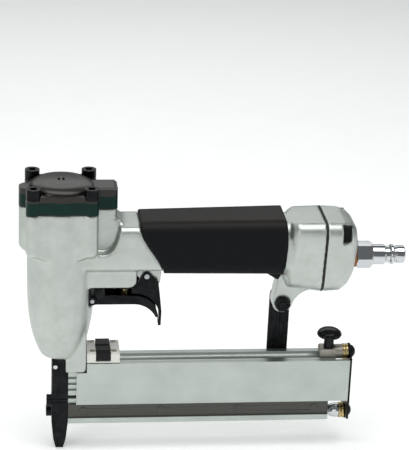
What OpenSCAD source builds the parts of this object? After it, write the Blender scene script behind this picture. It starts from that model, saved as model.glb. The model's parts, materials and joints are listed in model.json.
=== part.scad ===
// Air-driven headless pin nailer for joining picture frames.
// Origin: centre of the nose tip's working face, on the driver axis.
// +Z runs up the driver axis to the cap, +X runs back to the air inlet.

/* [Nose] */
// Half length of the nose block, front to back
nose_half_x = 4.8; // [4:0.1:6]
// Half width of the nose block
nose_half_y = 6.8; // [6:0.1:8]
// Height at which the tip starts to taper
nose_taper_z = 17.4; // [14:0.2:20]
// Half length of the tip's working face
nose_tip_half_x = 2.2; // [1.8:0.1:3]
// Half width of the tip's working face
nose_tip_half_y = 4.6; // [3.6:0.1:5.5]
// How far the nose goes up into the casting
nose_seat_depth = 3.5; // [2:0.1:4]
// Half thickness of the driver channel
channel_half_x = 0.6; // [0.5:0.05:0.7]
// Half width of the driver channel
channel_half_y = 0.9; // [0.8:0.05:1.2]
// Height of the upper nose screw
nose_screw_z_high = 31.2; // [30:0.2:34]
// Height of the lower nose screw
nose_screw_z_low = 20.6; // [19:0.2:22]
// Distance of each nose screw from the middle plane
nose_screw_y = 3.9; // [3.6:0.1:4.2]
// Thread diameter of the nose screws
nose_screw_d = 4; // [3:0.5:4]
// Head diameter of the nose screws
nose_screw_head_d = 7; // [6:0.1:7.4]
// Head height of the nose screws
nose_screw_head_h = 3; // [2.4:0.1:4]
// Height of the dowel pin through the front plate
nose_dowel_z = 54.1; // [52:0.1:56]
// Diameter of the dowel pin
nose_dowel_d = 2.5; // [2:0.1:3]

/* [Barrel and head] */
// Outer radius of the barrel under the head
barrel_r = 19.5; // [18.8:0.1:21]
// Outer radius at the foot of the barrel
barrel_foot_r = 11; // [10.4:0.1:12]
// Height of the barrel's foot
barrel_foot_z = 60.5; // [59:0.1:61]
// Height of the underside of the head
head_z = 131; // [129:0.2:133]
// Height of the joint face on top of the casting
deck_z = 153.5; // [152.5:0.1:155]
// Distance of the cap screws from the driver axis, along X and Y
cap_screw_pos = 16.2; // [15.8:0.1:17]
// Radius of the four screw bosses
boss_r = 4.3; // [4:0.1:4.8]
// How far the front boss reaches forward
front_boss_x = 24.2; // [23:0.1:26]
// Radius of the front boss
front_boss_r = 5.5; // [5:0.1:6]
// How far the air passage boss reaches back
rear_boss_x = 31.6; // [30:0.1:33]
// Half width of the air passage boss
rear_boss_half_y = 9; // [8:0.1:10]
// Thickness of the gasket under the ring
head_gasket_t = 0.5; // [0.3:0.1:1]
// Height of the coloured ring
ring_h = 7; // [6:0.1:8]
// Thickness of the cap's flange
cap_flange_t = 1.4; // [1.2:0.1:2]
// Height of the cap's top above the seats of its screws
cap_dome_h = 6.2; // [5:0.1:7]
// Radius of the cap's crowned top
cap_top_r = 11; // [10:0.1:12]
// Thread diameter of the cap screws
cap_screw_d = 5; // [4:0.5:5]
// Head diameter of the cap screws
cap_screw_head_d = 8.5; // [7:0.1:9]
// Head height of the cap screws
cap_screw_head_h = 5; // [4:0.1:5.5]
// Thickness of the spring washers
washer_t = 1.2; // [0.8:0.1:1.6]

/* [Driver] */
// Bore radius of the cylinder
bore_r = 11; // [10:0.1:11.4]
// Wall of the cylinder sleeve
sleeve_wall = 1.5; // [1.2:0.1:2]
// Stroke of the driver
stroke = 52; // [50:0.5:52]
// Height of the piston
piston_h = 11.7; // [10:0.1:12]
// Height of the bumper's underside
bumper_z = 66; // [65.5:0.1:66.5]
// Height of the rubber bumper
bumper_h = 12; // [10:0.1:12.4]
// Thickness of the driver blade
blade_t = 1; // [0.8:0.05:1]
// Width of the driver blade
blade_w = 1.6; // [1.2:0.05:1.6]
// Travel of the head valve
head_valve_travel = 3; // [2:0.1:3]

/* [Handle] */
// Half width of the grip at its front
grip_half_front = 16.5; // [15.5:0.1:17.5]
// Half width of the grip at its rear
grip_half_rear = 18; // [17:0.1:19]
// Height of the grip's top at its front
grip_top_front = 146.3; // [145.5:0.1:147]
// Height of the grip's top at its rear
grip_top_rear = 147.9; // [147:0.1:149]
// Height of the grip's underside
grip_bottom = 114.5; // [114:0.1:115]
// Front end of the grip along its top
grip_front_x = 44; // [43:0.1:45]
// Front end of the grip along its underside
grip_front_low_x = 58.5; // [57:0.1:60]
// Rear end of the grip at mid height
grip_rear_x = 128.9; // [127:0.1:129.4]
// Half width of the casting inside the grip
core_half = 13.5; // [12:0.1:14]
// Top of the casting inside the grip
core_top = 143.4; // [143:0.1:143.8]
// Underside of the casting inside the grip
core_bottom = 117.5; // [117:0.1:119]
// Radius of the air chamber in the handle
chamber_r = 10; // [8:0.1:11]
// Height of the air chamber's axis
chamber_z = 131; // [130:0.1:133]
// Height of the casting's underside above the trigger
belly_z = 106.2; // [105.5:0.1:107]

/* [Rear end] */
// Front face of the rear casting's flange joint
joint_x = 150.5; // [149:0.1:152]
// Thickness of the rear gasket
rear_gasket_t = 0.8; // [0.5:0.1:1.2]
// Half width of the rear end
rear_half = 19.5; // [18.5:0.1:20.5]
// Top of the rear end
rear_top = 146.8; // [146:0.1:148]
// Underside of the rear end
rear_bottom = 101.1; // [100:0.1:102]
// Length of the rear cap
rear_cap_len = 19.1; // [18:0.1:20]
// Lowest height of each exhaust slot
exhaust_z = 134.6; // [134:0.1:135.4]
// Height of each exhaust slot
exhaust_h = 11.2; // [10:0.1:11.6]
// Distance from each exhaust slot's front end to the cap's rear face
exhaust_back = 10.1; // [9:0.1:11]
// Length of each exhaust slot
exhaust_len = 5.4; // [4:0.1:6]

/* [Air plug] */
// Height of the air plug's axis
plug_z = 121.2; // [120:0.1:123]
// Diameter of the plug's tube
plug_d = 12; // [11.5:0.1:12.5]
// Width across the flats of its hexagon
plug_hex_af = 14; // [13:0.5:15]
// Length of its hexagon
plug_hex_len = 9.7; // [8:0.1:11]
// Length from the hexagon to the plug's end
plug_len = 19.3; // [18:0.1:21]
// Diameter of the locking groove
plug_groove_d = 9.8; // [9:0.1:10.5]
// Bore of the plug
plug_bore_d = 7.2; // [6.5:0.1:7.6]
// Thickness of the sealing washer
plug_washer_t = 1.6; // [1:0.1:2]

/* [Trigger] */
// Distance of the trigger's pivot behind the driver axis
trigger_pivot_x = 18; // [17.8:0.1:18.6]
// Height of the trigger's pivot
trigger_pivot_z = 96.1; // [95.6:0.1:96.6]
// Depth of the trigger lever, top to bottom
trigger_depth = 5.2; // [4.8:0.1:5.4]
// Half width of the trigger lever
trigger_half = 6.5; // [6:0.1:7]
// Wall of the trigger's channel
trigger_wall = 1.2; // [1:0.1:1.5]
// Distance of the valve stem behind the driver axis
valve_x = 36.9; // [36.5:0.1:37.5]
// Radius of the brass valve stem
stem_r = 1.85; // [1.6:0.05:2]
// Travel of the valve stem
stem_travel = 2.06; // [1.8:0.02:2.1]

/* [Safety lever] */
// Distance of its pivot behind the driver axis
safety_pivot_x = 49.4; // [49:0.1:50]
// Height of its pivot
safety_pivot_z = 110.3; // [110:0.1:110.8]
// Half width of the safety lever
safety_half = 5; // [4.8:0.05:5]
// Thickness of its plates
safety_wall = 1.2; // [1:0.1:1.3]
// Height of the end of its blade
safety_tip_z = 78.2; // [77:0.1:80]

/* [Magazine] */
// Top of the magazine rail
rail_top = 57; // [56.5:0.1:57.5]
// Underside of the magazine rail
rail_bottom = 18.3; // [17.8:0.1:19]
// Side face of the magazine away from the cover
rail_far = 8.5; // [8:0.1:9]
// Side face of the rail behind the cover
rail_near = 7; // [6.8:0.1:7.2]
// Outer face of the cover
cover_face = 9.5; // [9.3:0.1:10]
// Rear end of the rail behind the cover
rail_end_x = 163; // [162:0.1:163.4]
// Rear end of the rail's visible lower part
rail_low_end_x = 159.8; // [158:0.1:160.5]
// Lower edge of the cover
cover_low_z = 30.5; // [30:0.1:31.5]
// Front edge of the cover
cover_front_x = 9.5; // [9:0.1:10.5]
// Width of the slot that the pins stand in
pin_slot_w = 0.9; // [0.7:0.05:1]
// Length of the longest pin
pin_len = 30; // [29:0.5:30]
// Distance between the round rivets of the steel strip
rivet_pitch = 46; // [40:1:46]
// How far the cover slides back
cover_travel = 120; // [100:5:150]
// How far the pusher runs
pusher_travel = 110; // [80:5:112]
// Number of curls in the pusher spring
pusher_spring_curls = 36; // [20:1:40]

/* [End plate and latch] */
// Front face of the end plate
end_plate_x = 171.3; // [171:0.1:172]
// Thickness of the end plate
end_plate_t = 1.2; // [1:0.1:1.5]
// Height of the upper end screw
end_screw_high_z = 58.8; // [58.4:0.1:59.4]
// Height of the lower end screw
end_screw_low_z = 19.8; // [19.4:0.1:20.4]
// Outer radius of the brass bushes
brass_r = 4.7; // [4.4:0.1:4.8]
// Length of the brass bushes
brass_len = 3.8; // [3:0.1:4.2]
// Distance of the latch knob behind the driver axis
latch_x = 159.5; // [159:0.1:160]
// Radius of the latch knob
knob_r = 7.4; // [7:0.1:8]
// Height of the latch knob's underside
knob_z = 68.9; // [68:0.1:70]
// Height of the latch knob's cap
knob_h = 5.2; // [4.6:0.1:6]
// Travel of the latch when it is pulled
latch_travel = 2.2; // [2:0.1:2.4]

/* [Strap and lug] */
// Distance of the strap bolt behind the driver axis
lug_x = 129.6; // [129:0.1:130.5]
// Height of the strap bolt
lug_z = 91.7; // [91:0.1:92.5]
// Radius of the lug
lug_r = 5.8; // [5.6:0.1:6.4]
// Near face of the lug, measured from the middle plane
lug_near = 4; // [3.5:0.1:5]
// Width of the strap
strap_w = 12.2; // [11:0.1:13]
// Thickness of the strap
strap_t = 2; // [1.5:0.1:2.5]
// Thread diameter of the strap bolt
lug_bolt_d = 5; // [4:0.5:5]

/* [Clear block] */
// Front end of the clear block
clear_x = 15.4; // [15.4:0.1:16.4]
// Length of the clear block
clear_len = 19.2; // [17:0.1:21]
// Height of the clear block
clear_h = 7; // [6.4:0.1:8]
// Width of the black catch
catch_w = 8.2; // [7:0.1:9]

/* [Fits] */
// Radial clearance of running fits
run_gap = 0.05; // [0.03:0.01:0.1]
// Clearance between sliding flat faces
slide_gap = 0.2; // [0.15:0.05:0.3]

/* [Hidden] */
$fn = 64;
HULL_FN = 32;

// shades
SILVER = "#a3adaa";
GREEN = "#06241f";
GRAPHITE = "#2b2925";
BLACK = "#17191a";
STEEL = "#8d9294";
BRASS = "#b08a3e";
RUBBER = "#15191b";
EPS = 0.02;

// heights that follow from the driving sizes
nose_top_z = barrel_foot_z + nose_seat_depth;
gasket_top_z = deck_z + head_gasket_t;
ring_top_z = gasket_top_z + ring_h;
cap_seat_z = ring_top_z + cap_flange_t;
cap_top_z = cap_seat_z + cap_dome_h;
cap_crown_h = 0.6;
cap_rim_z = cap_seat_z + 2.2;
cap_roof_z = ring_top_z + 4.5;
sleeve_r = bore_r + sleeve_wall;
sleeve_z = 70;
shelf_z = 138;
sleeve_flange_h = 2.5;
sleeve_top_z = 143.5;
valve_room_r = 15.2;
piston_z = bumper_z + bumper_h + 0.3 + stroke;
valve_z = sleeve_top_z + 0.3;
valve_h = 7;
blade_tip_z = stroke;

// ---- shapes used by many pieces ----
module box(x0, x1, y0, y1, z0, z1) translate([x0, y0, z0]) cube([x1 - x0, y1 - y0, z1 - z0]);
module xcyl(r, x0, x1, y = 0, z = 0)
    translate([x0, y, z]) rotate([0, 90, 0]) cylinder(r = r, h = x1 - x0);
module ycyl(r, y0, y1, x = 0, z = 0)
    translate([x, y1, z]) rotate([90, 0, 0]) cylinder(r = r, h = y1 - y0);
module zcyl(r, z0, z1, x = 0, y = 0) translate([x, y, z0]) cylinder(r = r, h = z1 - z0);
module zcone(r0, r1, z0, z1, x = 0, y = 0)
    translate([x, y, z0]) cylinder(r1 = r0, r2 = r1, h = z1 - z0);
// a side view drawn as (x, z), made solid from y0 to y1
module side(y0, y1) translate([0, y1, 0]) rotate([90, 0, 0]) linear_extrude(y1 - y0) children();
// a section drawn as (y, z), made solid from x0 to x1
module along(x0, x1)
    translate([x0, 0, 0]) rotate([90, 0, 90]) linear_extrude(x1 - x0) children();
module area(a0, a1, b0, b1) translate([a0, b0]) square([a1 - a0, b1 - b0]);
module dot(a, b, r) translate([a, b]) circle(r = r);
// rounded rectangle from -half to half and from b0 to b1, with its own radius low down
module rounded(half, b0, b1, r, low = 0) {
    q = low > 0 ? low : r;
    area(-half + r, half - r, b0 + q, b1);
    area(-half + q, half - q, b0, b1 - r);
    area(-half, half, b0 + q, b1 - r);
    for (s = [-1, 1]) {
        dot(s * (half - r), b1 - r, r);
        dot(s * (half - q), b0 + q, q);
    }
}
// a thin rounded slice across the handle, for hulls
module slice(x, half, z0, z1, r)
    for (y = [-half + r, half - r], z = [z0 + r, z1 - r])
        translate([x, y, z]) rotate([0, 90, 0]) cylinder(r = r, h = 0.1, $fn = HULL_FN);
// socket head cap screw standing on z = 0 with its thread below
module cap_screw(d, head_d, head_h, len) {
    difference() {
        cylinder(d = head_d, h = head_h);
        translate([0, 0, head_h * 0.45]) cylinder(d = d * 0.95, h = head_h, $fn = 6);
    }
    translate([0, 0, -len]) cylinder(d = d, h = len + EPS);
}

// ---- coil springs: one unbroken tube of six sides along a helix ----
SPRING_RINGS = 8;
SPRING_SIDES = 6;
function coil_point(a, r, len, curls) =
    [r * cos(a), r * sin(a), len * a / (360 * curls)];
module coil(r, wire_r, len, curls) {
    steps = curls * SPRING_RINGS;
    rise = len / (curls * 2 * PI * r);
    lean = atan(rise);
    points = [for (i = [0 : steps], j = [0 : SPRING_SIDES - 1])
        let (a = 360 * i / SPRING_RINGS, b = 360 * j / SPRING_SIDES,
            c = coil_point(a, r, len, curls),
            out = wire_r * cos(b), up = wire_r * sin(b))
        [c[0] + out * cos(a) + up * sin(lean) * sin(a),
         c[1] + out * sin(a) - up * sin(lean) * cos(a),
         c[2] + up * cos(lean)]];
    skin = [for (i = [0 : steps - 1], j = [0 : SPRING_SIDES - 1], half = [0, 1])
        let (k = (j + 1) % SPRING_SIDES, a = i * SPRING_SIDES, b = a + SPRING_SIDES)
        half == 0 ? [a + j, b + j, b + k] : [a + j, b + k, a + k]];
    first = [for (j = [0 : SPRING_SIDES - 1]) j];
    last = [for (j = [SPRING_SIDES - 1 : -1 : 0]) steps * SPRING_SIDES + j];
    polyhedron(points, concat(skin, [for (j = [1 : SPRING_SIDES - 2]) [0, j, j + 1]],
        [for (j = [1 : SPRING_SIDES - 2]) [last[0], last[j], last[j + 1]]]), convexity = 10);
}
// least gap of a coil to itself, one curl above the other
function coil_gap(wire_r, len, curls, r) =
    len / curls * cos(atan(len / (curls * 2 * PI * r))) - 2 * wire_r;

// ---- main casting ----
BARREL_STEPS = 14;
// outer radius of the barrel: straight under the head, drawn in towards the foot
function barrel_radius(z) =
    barrel_r - (barrel_r - barrel_foot_r) * pow((head_z - z) / (head_z - barrel_foot_z), 4.5);
module barrel(more = 0) rotate_extrude()
    polygon(concat([[0, barrel_foot_z], [barrel_foot_r - 0.8, barrel_foot_z]],
        [for (i = [0 : BARREL_STEPS])
            let (z = barrel_foot_z + 0.8 + (head_z - barrel_foot_z - 0.8) * pow(i / BARREL_STEPS, 1.6))
            [barrel_radius(z) + more, z]],
        [[barrel_r + more, deck_z], [0, deck_z]]));
// raised panel down each side of the barrel, ending in a point
panel_x = 1;
panel_half = 7;
panel_low_z = 81.3;
panel_arc_r = 19.6;
panel_proud = 0.35;
module panels() intersection() {
    barrel(panel_proud);
    side(-30, 30) intersection() {
        area(panel_x - panel_half, panel_x + panel_half, panel_low_z, head_z);
        for (part = [0, 1]) if (part == 0) intersection_for (s = [-1, 1]) {
            dot(panel_x + s * (panel_arc_r - panel_half), panel_low_z + 15, panel_arc_r);
        } else area(panel_x - panel_half, panel_x + panel_half, panel_low_z + 15, head_z);
    }
}

// plan of the head: round barrel, four screw bosses, front boss and air passage boss
head_flat = cap_screw_pos + 2.8;
module head_plan() {
    circle(r = barrel_r + 0.3);
    square(2 * [head_flat, cap_screw_pos - 1], center = true);
    square(2 * [cap_screw_pos - 1, head_flat], center = true);
    for (a = [-1, 1], b = [-1, 1]) dot(a * cap_screw_pos, b * cap_screw_pos, boss_r);
    dot(-front_boss_x + front_boss_r, 0, front_boss_r);
    area(-front_boss_x + front_boss_r, 0, -front_boss_r, front_boss_r);
    rear_boss_plan();
}
rear_boss_round = 3.5;
module rear_boss_plan() {
    area(0, rear_boss_x - rear_boss_round, -rear_boss_half_y, rear_boss_half_y);
    area(0, rear_boss_x, -rear_boss_half_y + rear_boss_round, rear_boss_half_y - rear_boss_round);
    for (s = [-1, 1]) dot(rear_boss_x - rear_boss_round,
        s * (rear_boss_half_y - rear_boss_round), rear_boss_round);
}
passage_x = 25.2;
cap_screw_foot_z = deck_z - 19;
passage_r = 3.2;

module head_block() {
    translate([0, 0, head_z]) linear_extrude(deck_z - head_z) head_plan();
    for (a = [-1, 1], b = [-1, 1])
        translate([a * cap_screw_pos, b * cap_screw_pos, head_z]) sphere(r = boss_r);
    translate([-front_boss_x + front_boss_r, 0, head_z]) sphere(r = front_boss_r);
    // the bosses run out into the barrel on a cone
    intersection() {
        translate([0, 0, head_z - head_run]) linear_extrude(head_run + EPS) head_plan();
        zcone(barrel_r - 0.3, barrel_r + 8, head_z - head_run, head_z);
    }
}
head_run = 6;

// foot behind the nose that carries the front of the magazine
foot_x0 = 3;
foot_x1 = 15.1;
foot_half = 10;
foot_z = 51.3;
foot_top = 92;
foot_round = 2.5;
module foot() difference() {
    intersection() {
        side(-foot_half, foot_half) {
            area(foot_x0, foot_x1 - foot_round, foot_z, foot_top);
            area(foot_x0, foot_x1, foot_z + foot_round, foot_top);
            dot(foot_x1 - foot_round, foot_z + foot_round, foot_round);
        }
        along(0, 40) rounded(foot_half, foot_z - 10, foot_top, 4);
    }
    box(-20, nose_half_x, -nose_half_y, nose_half_y, foot_z - 1, nose_top_z);
}

// front edge of the grip in side view: a smooth S from top to underside
EDGE_STEPS = 12;
edge_low_z = grip_bottom - 1;
edge_high_z = grip_top_front + 0.3;
function edge_x(z) = (grip_front_x + grip_front_low_x) / 2 + (grip_front_low_x - grip_front_x) / 2
    * cos(180 * (z - edge_low_z) / (edge_high_z - edge_low_z));
function edge_points(shift, z0) = [for (i = [0 : EDGE_STEPS])
    let (z = z0 + (edge_high_z - z0) * i / EDGE_STEPS) [edge_x(z) + shift, z]];
// rear edge of the grip, a shallow bow
rear_edge_z = 134;
function rear_edge_x(z) = grip_rear_x - 0.0045 * pow(z - rear_edge_z, 2);

neck_half = 16;
neck_top_z = 144.1;
cheek_half = 12.5;
cheek_top_z = 122;
cheek_x1 = 43;
arch_z = 116.8;
// side view of the neck between the barrel and the grip
module neck_side() polygon(concat([[8, arch_z]], edge_points(-0.1, arch_z), [[8, edge_high_z]]));
module neck() {
    difference() {
        intersection() {
            side(-neck_half, neck_half) neck_side();
            along(8, grip_front_low_x) rounded(neck_half, arch_z, neck_top_z, 5, 4.5);
        }
        // clear space beside the air passage boss, with a curved shoulder behind it
        for (s = [0, 1]) mirror([0, s, 0]) side(rear_boss_half_y, neck_half + 1)
            polygon([[0, 127.9], [24.3, 127.9], [27.3, 129], [29.4, 131.4], [31, 135], [32.2, 139.5],
                [33, 145], [33, 160], [0, 160]]);
    }
    // the top runs on in the middle and sweeps up to the boss
    intersection() {
        side(-rear_boss_half_y, rear_boss_half_y) difference() {
            area(20, rear_boss_x + sweep_r, arch_z + 4, neck_top_z + sweep_r);
            dot(rear_boss_x + sweep_r - 0.4, neck_top_z + sweep_r, sweep_r);
            area(20, 60, deck_z - 1.5, 200);
        }
        side(-neck_half, neck_half) neck_side();
    }
}
sweep_r = 7;
// narrower cheeks under the neck, with a rounded rear corner
module cheeks() side(-cheek_half, cheek_half) {
    area(8, cheek_x1 - 4, belly_z, cheek_top_z);
    area(8, cheek_x1, belly_z + 4, cheek_top_z);
    dot(cheek_x1 - 4, belly_z + 4, 4);
}
// lug that carries the safety lever
safety_lug_half = safety_half - safety_wall - 0.3;
safety_lug_r = 4.8;
lug_low_z = safety_pivot_z - 5.2;
module safety_lug() side(-safety_lug_half, safety_lug_half) {
    area(cheek_x1 - 2, 58, arch_z - 0.5, arch_z + 4);
    area(safety_pivot_x - safety_lug_r, 58, safety_pivot_z, arch_z + 1);
    dot(safety_pivot_x, safety_pivot_z, safety_lug_r);
    area(54.8, 57.6, lug_low_z, arch_z + 1);
}

module core_section() rounded(core_half, core_bottom, core_top, 7);
module core() along(neck_core_x, grip_end_x + 4) core_section();
neck_core_x = 36;
grip_end_x = 127;

// rear end of the casting: its section is wide above and narrower below. Each slice is
// four thin discs for a hull, the lower two set forward by lean.
rear_round = 7;
rear_low_round = 9.5;
rear_taper = 5;
module rear_slice(x, half, z0, z1, lean = 0, t = 0.1, r = rear_round, q = rear_low_round)
    for (s = [-1, 1]) {
        translate([x, s * (half - r), z1 - r]) rotate([0, 90, 0])
            cylinder(r = r, h = t, $fn = HULL_FN);
        translate([x - lean, s * (half - rear_taper - q), z0 + q]) rotate([0, 90, 0])
            cylinder(r = q, h = t, $fn = HULL_FN);
    }
module bulge() {
    hull() {
        rear_slice(grip_end_x + 4.5, 16, rear_bottom + 8, rear_top - 1.4, 3);
        rear_slice(grip_end_x + 8, rear_half - 0.6, rear_bottom + 2.5, rear_top - 0.3, 3);
        rear_slice(joint_x - 0.1, rear_half, rear_bottom, rear_top);
    }
    // collar between the grip and the bulge
    hull() {
        slice(grip_end_x - 1, 15, grip_bottom + 1, rear_top - 1.6, 10);
        slice(grip_end_x + 6, 15.4, grip_bottom - 4, rear_top - 1.6, 10);
    }
}
// web and lug for the strap under the bulge
web_arc_r = 13.4;
web_x1 = lug_x + 18.6;
module lug_side() {
    dot(lug_x, lug_z, lug_r);
    difference() {
        polygon([[lug_x - lug_r, lug_z], [lug_x - 3.1, 110], [lug_x - 2.6, 118], [web_x1, 118],
            [web_x1, lug_z]]);
        dot(web_x1, rear_bottom - 0.4 - web_arc_r, web_arc_r);
    }
}
nut_recess_d = 1.2;
module lug() difference() {
    side(-lug_near, rail_far) lug_side();
    ycyl(lug_bolt_d / 2, -lug_near - 1, rail_far + 1, lug_x, lug_z);
    ycyl(lug_r - 1.05, -lug_near - 1, -lug_near + nut_recess_d, lug_x, lug_z);
}

// flat behind the barrel that gives the trigger room
trigger_room_x = trigger_pivot_x - 2.6 - 0.4;
rear_cap_x = joint_x + rear_gasket_t + rear_cap_len;
exhaust_x = rear_cap_x - exhaust_back;
// three screws hold the rear cap, two high and one low in the middle
rear_screws = [[-8.2, 136.4], [8.2, 136.4], [0, 106.6]];
rear_screw_len = 12;
rear_hollow_len = 14;
module rear_screw_places()
    for (at = rear_screws) translate([0, at[0], at[1]]) children();
// hollow of the rear end, inside a wall that clears the screws
module rear_hollow(x0, x1) along(x0, x1)
    rounded(rear_half - 6.2, rear_screws[2][1] + 4.2, rear_screws[0][1] - 3.8, 6);
bushing_r = 4.4;

chamber_end_r = 6;
module main_housing() color(SILVER) difference() {
    union() {
        barrel();
        head_block();
        foot();
        panels();
        neck();
        cheeks();
        safety_lug();
        core();
        bulge();
        lug();
    }
    // cylinder bore, air space round the sleeve and valve room
    zcyl(bore_r, bumper_z, sleeve_z + 1);
    zcyl(sleeve_r, sleeve_z, shelf_z + 1);
    zcyl(valve_room_r, shelf_z, deck_z + 1);
    // hole for the blade and seat of the nose
    zcyl(2, nose_top_z - 1, bumper_z + 1);
    box(-nose_half_x, nose_half_x, -nose_half_y, nose_half_y, foot_z - 1, nose_top_z);
    // air chamber and its passage up to the cap
    xcyl(chamber_r, neck_core_x + 4, joint_x - rear_hollow_len + 1, 0, chamber_z);
    xcyl(chamber_end_r, passage_x, neck_core_x + 5, 0, chamber_z);
    zcyl(passage_r, chamber_z, deck_z + 1, passage_x);
    rear_hollow(joint_x - rear_hollow_len, joint_x + 1);
    // trigger valve bore
    zcyl(bushing_r, belly_z - 1, chamber_z, valve_x);
    // room for the front of the trigger
    box(trigger_room_x, trigger_pivot_x + 8, -cheek_half + 2, cheek_half - 2,
        trigger_pivot_z - eye_r - 0.3, belly_z);
    ycyl(1.5, -safety_lug_half - 1, safety_lug_half + 1, safety_pivot_x, safety_pivot_z);
    cap_screw_places() zcyl(cap_screw_d / 2, cap_screw_foot_z - 0.5, deck_z + 1);
    rear_screw_places() xcyl(2, joint_x - rear_screw_len, joint_x + 1);
    bracket_screw_places() zcyl(1.5, belly_z - 1, belly_z + 7);
}
module cap_screw_places()
    for (a = [-1, 1], b = [-1, 1]) translate([a * cap_screw_pos, b * cap_screw_pos, 0]) children();

// ---- cylinder, piston and head valve ----
module cylinder_sleeve() color(STEEL) difference() {
    union() {
        zcyl(sleeve_r, sleeve_z, sleeve_top_z);
        zcyl(valve_room_r, shelf_z, shelf_z + sleeve_flange_h);
    }
    zcyl(bore_r, sleeve_z - 1, sleeve_top_z + 1);
    for (i = [0 : 5]) rotate(i * 60)
        translate([0, 0, bumper_z + bumper_h + 8]) rotate([0, 90, 0]) cylinder(r = 1, h = 20);
}
module bumper() color("#23272a") difference() {
    union() {
        zcyl(bore_r, bumper_z, bumper_z + 4);
        zcone(bore_r, bore_r - 2, bumper_z + 4, bumper_z + bumper_h);
    }
    zcyl(1.8, bumper_z - 1, bumper_z + bumper_h + 1);
}
ring_groove_h = 2.4;
ring_groove_r = bore_r - 1.9;
module piston_driver() color("#9a9fa1") {
    difference() {
        zcyl(bore_r - run_gap, piston_z, piston_z + piston_h);
        zcyl(bore_r - 3, piston_z + 4, piston_z + piston_h + 1);
        difference() {
            zcyl(bore_r + 1, piston_z + 4, piston_z + 4 + ring_groove_h);
            zcyl(ring_groove_r, piston_z, piston_z + 8);
        }
    }
    zcyl(3, piston_z + 3, piston_z + 8);
    box(-blade_t / 2, blade_t / 2, -blade_w / 2, blade_w / 2, blade_tip_z, piston_z + 1);
}
module piston_ring() color(RUBBER) difference() {
    zcyl(bore_r - run_gap, piston_z + 4 + EPS, piston_z + 4 + ring_groove_h - EPS);
    zcyl(ring_groove_r, piston_z + 3, piston_z + 8);
}
valve_stem_top = ring_top_z + 0.5;
guide_r = 3;
module head_valve() color("#d8d4c4") {
    difference() {
        zcyl(valve_room_r - run_gap, valve_z, valve_z + valve_h);
        zcyl(bore_r - 2, valve_z - 1, valve_z + 2.5);
        difference() {
            zcyl(valve_room_r, valve_z + 3, valve_z + 5);
            zcyl(valve_room_r - 1.6, valve_z, valve_z + valve_h);
        }
    }
    zcyl(guide_r, valve_z + valve_h - 1, valve_stem_top);
}
head_spring_r = 8;
head_spring_wire = 0.6;
head_spring_curls = 5;
head_spring_z0 = valve_z + valve_h + head_spring_wire + 0.1;
head_spring_z1 = cap_roof_z - head_spring_wire - 0.1;
module head_valve_spring() color(STEEL) translate([0, 0, head_spring_z0])
    coil(head_spring_r, head_spring_wire, head_spring_z1 - head_spring_z0, head_spring_curls);

// ---- gasket, coloured ring and cap ----
module head_holes(z0, z1) {
    zcyl(passage_r, z0, z1, passage_x);
    cap_screw_places() zcyl(cap_screw_d / 2, z0, z1);
}
module head_gasket() color(BLACK) difference() {
    translate([0, 0, deck_z]) linear_extrude(head_gasket_t) head_plan();
    zcyl(valve_room_r, deck_z - 1, gasket_top_z + 1);
    head_holes(deck_z - 1, gasket_top_z + 1);
}
module head_ring() color(GREEN) difference() {
    translate([0, 0, gasket_top_z]) linear_extrude(ring_h) head_plan();
    zcyl(valve_room_r, gasket_top_z - 1, ring_top_z + 1);
    head_holes(gasket_top_z - 1, ring_top_z + 1);
}
cap_room_r = 12;
cap_base_r = 18.6;
plateau_z = cap_rim_z + 1;
plateau_in = 0.6;
plateau_r = 2;
vent_r = 0.65;
DOME_STEPS = 6;
plateau_x1 = rear_boss_x - plateau_in;
// raised part of the cap over the air passage, rounded along its top
module plateau() intersection() {
    side(-rear_boss_half_y, rear_boss_half_y) polygon([[0, cap_rim_z - 1], [plateau_x1, cap_rim_z - 1],
        [plateau_x1, plateau_z - plateau_r], [plateau_x1 - 0.5, plateau_z - 0.7],
        [plateau_x1 - 1.3, plateau_z - 0.1], [plateau_x1 - plateau_r, plateau_z], [0, plateau_z]]);
    along(0, rear_boss_x) rounded(rear_boss_half_y - plateau_in, cap_rim_z - 5, plateau_z, plateau_r);
    translate([0, 0, cap_rim_z - 0.5]) linear_extrude(plateau_r) rear_boss_plan();
}
module cap_cover() color(GRAPHITE) difference() {
    union() {
        translate([0, 0, ring_top_z]) linear_extrude(cap_rim_z - ring_top_z) head_plan();
        // dome: an elliptic shoulder under a crowned top
        rotate_extrude() polygon(concat([[0, cap_rim_z - 1], [cap_base_r, cap_rim_z - 1]],
            [for (i = [0 : DOME_STEPS]) let (a = 90 * i / DOME_STEPS)
                [cap_top_r + (cap_base_r - cap_top_r) * cos(a),
                 cap_rim_z + (cap_top_z - cap_crown_h - cap_rim_z) * sin(a)]],
            [for (i = [1 : 3]) let (t = i / 3)
                [cap_top_r * (1 - t), cap_top_z - cap_crown_h * pow(1 - t, 2)]]));
        plateau();
    }
    zcyl(cap_room_r, ring_top_z - 1, cap_roof_z);
    for (x = [-1.5, 1.1]) translate([x, 0, ring_top_z]) linear_extrude(cap_top_z) {
        dot(0, -1.2, vent_r);
        dot(0, 1.2, vent_r);
        area(-vent_r, vent_r, -1.2, 1.2);
    }
    cap_screw_places() {
        zcyl(cap_screw_d / 2, ring_top_z - 1, cap_top_z);
        zcyl(cap_screw_head_d / 2 + 0.3, cap_seat_z, cap_top_z + 1);
    }
    // air way from the passage to the valve room
    box(5, passage_x, -2, 2, ring_top_z - 1, ring_top_z + 2);
    zcyl(passage_r, ring_top_z - 1, ring_top_z + 2, passage_x);
}
module cap_screws() color(BLACK) cap_screw_places() translate([0, 0, cap_seat_z + washer_t])
    cap_screw(cap_screw_d, cap_screw_head_d, cap_screw_head_h, cap_seat_z + washer_t - cap_screw_foot_z);
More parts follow.
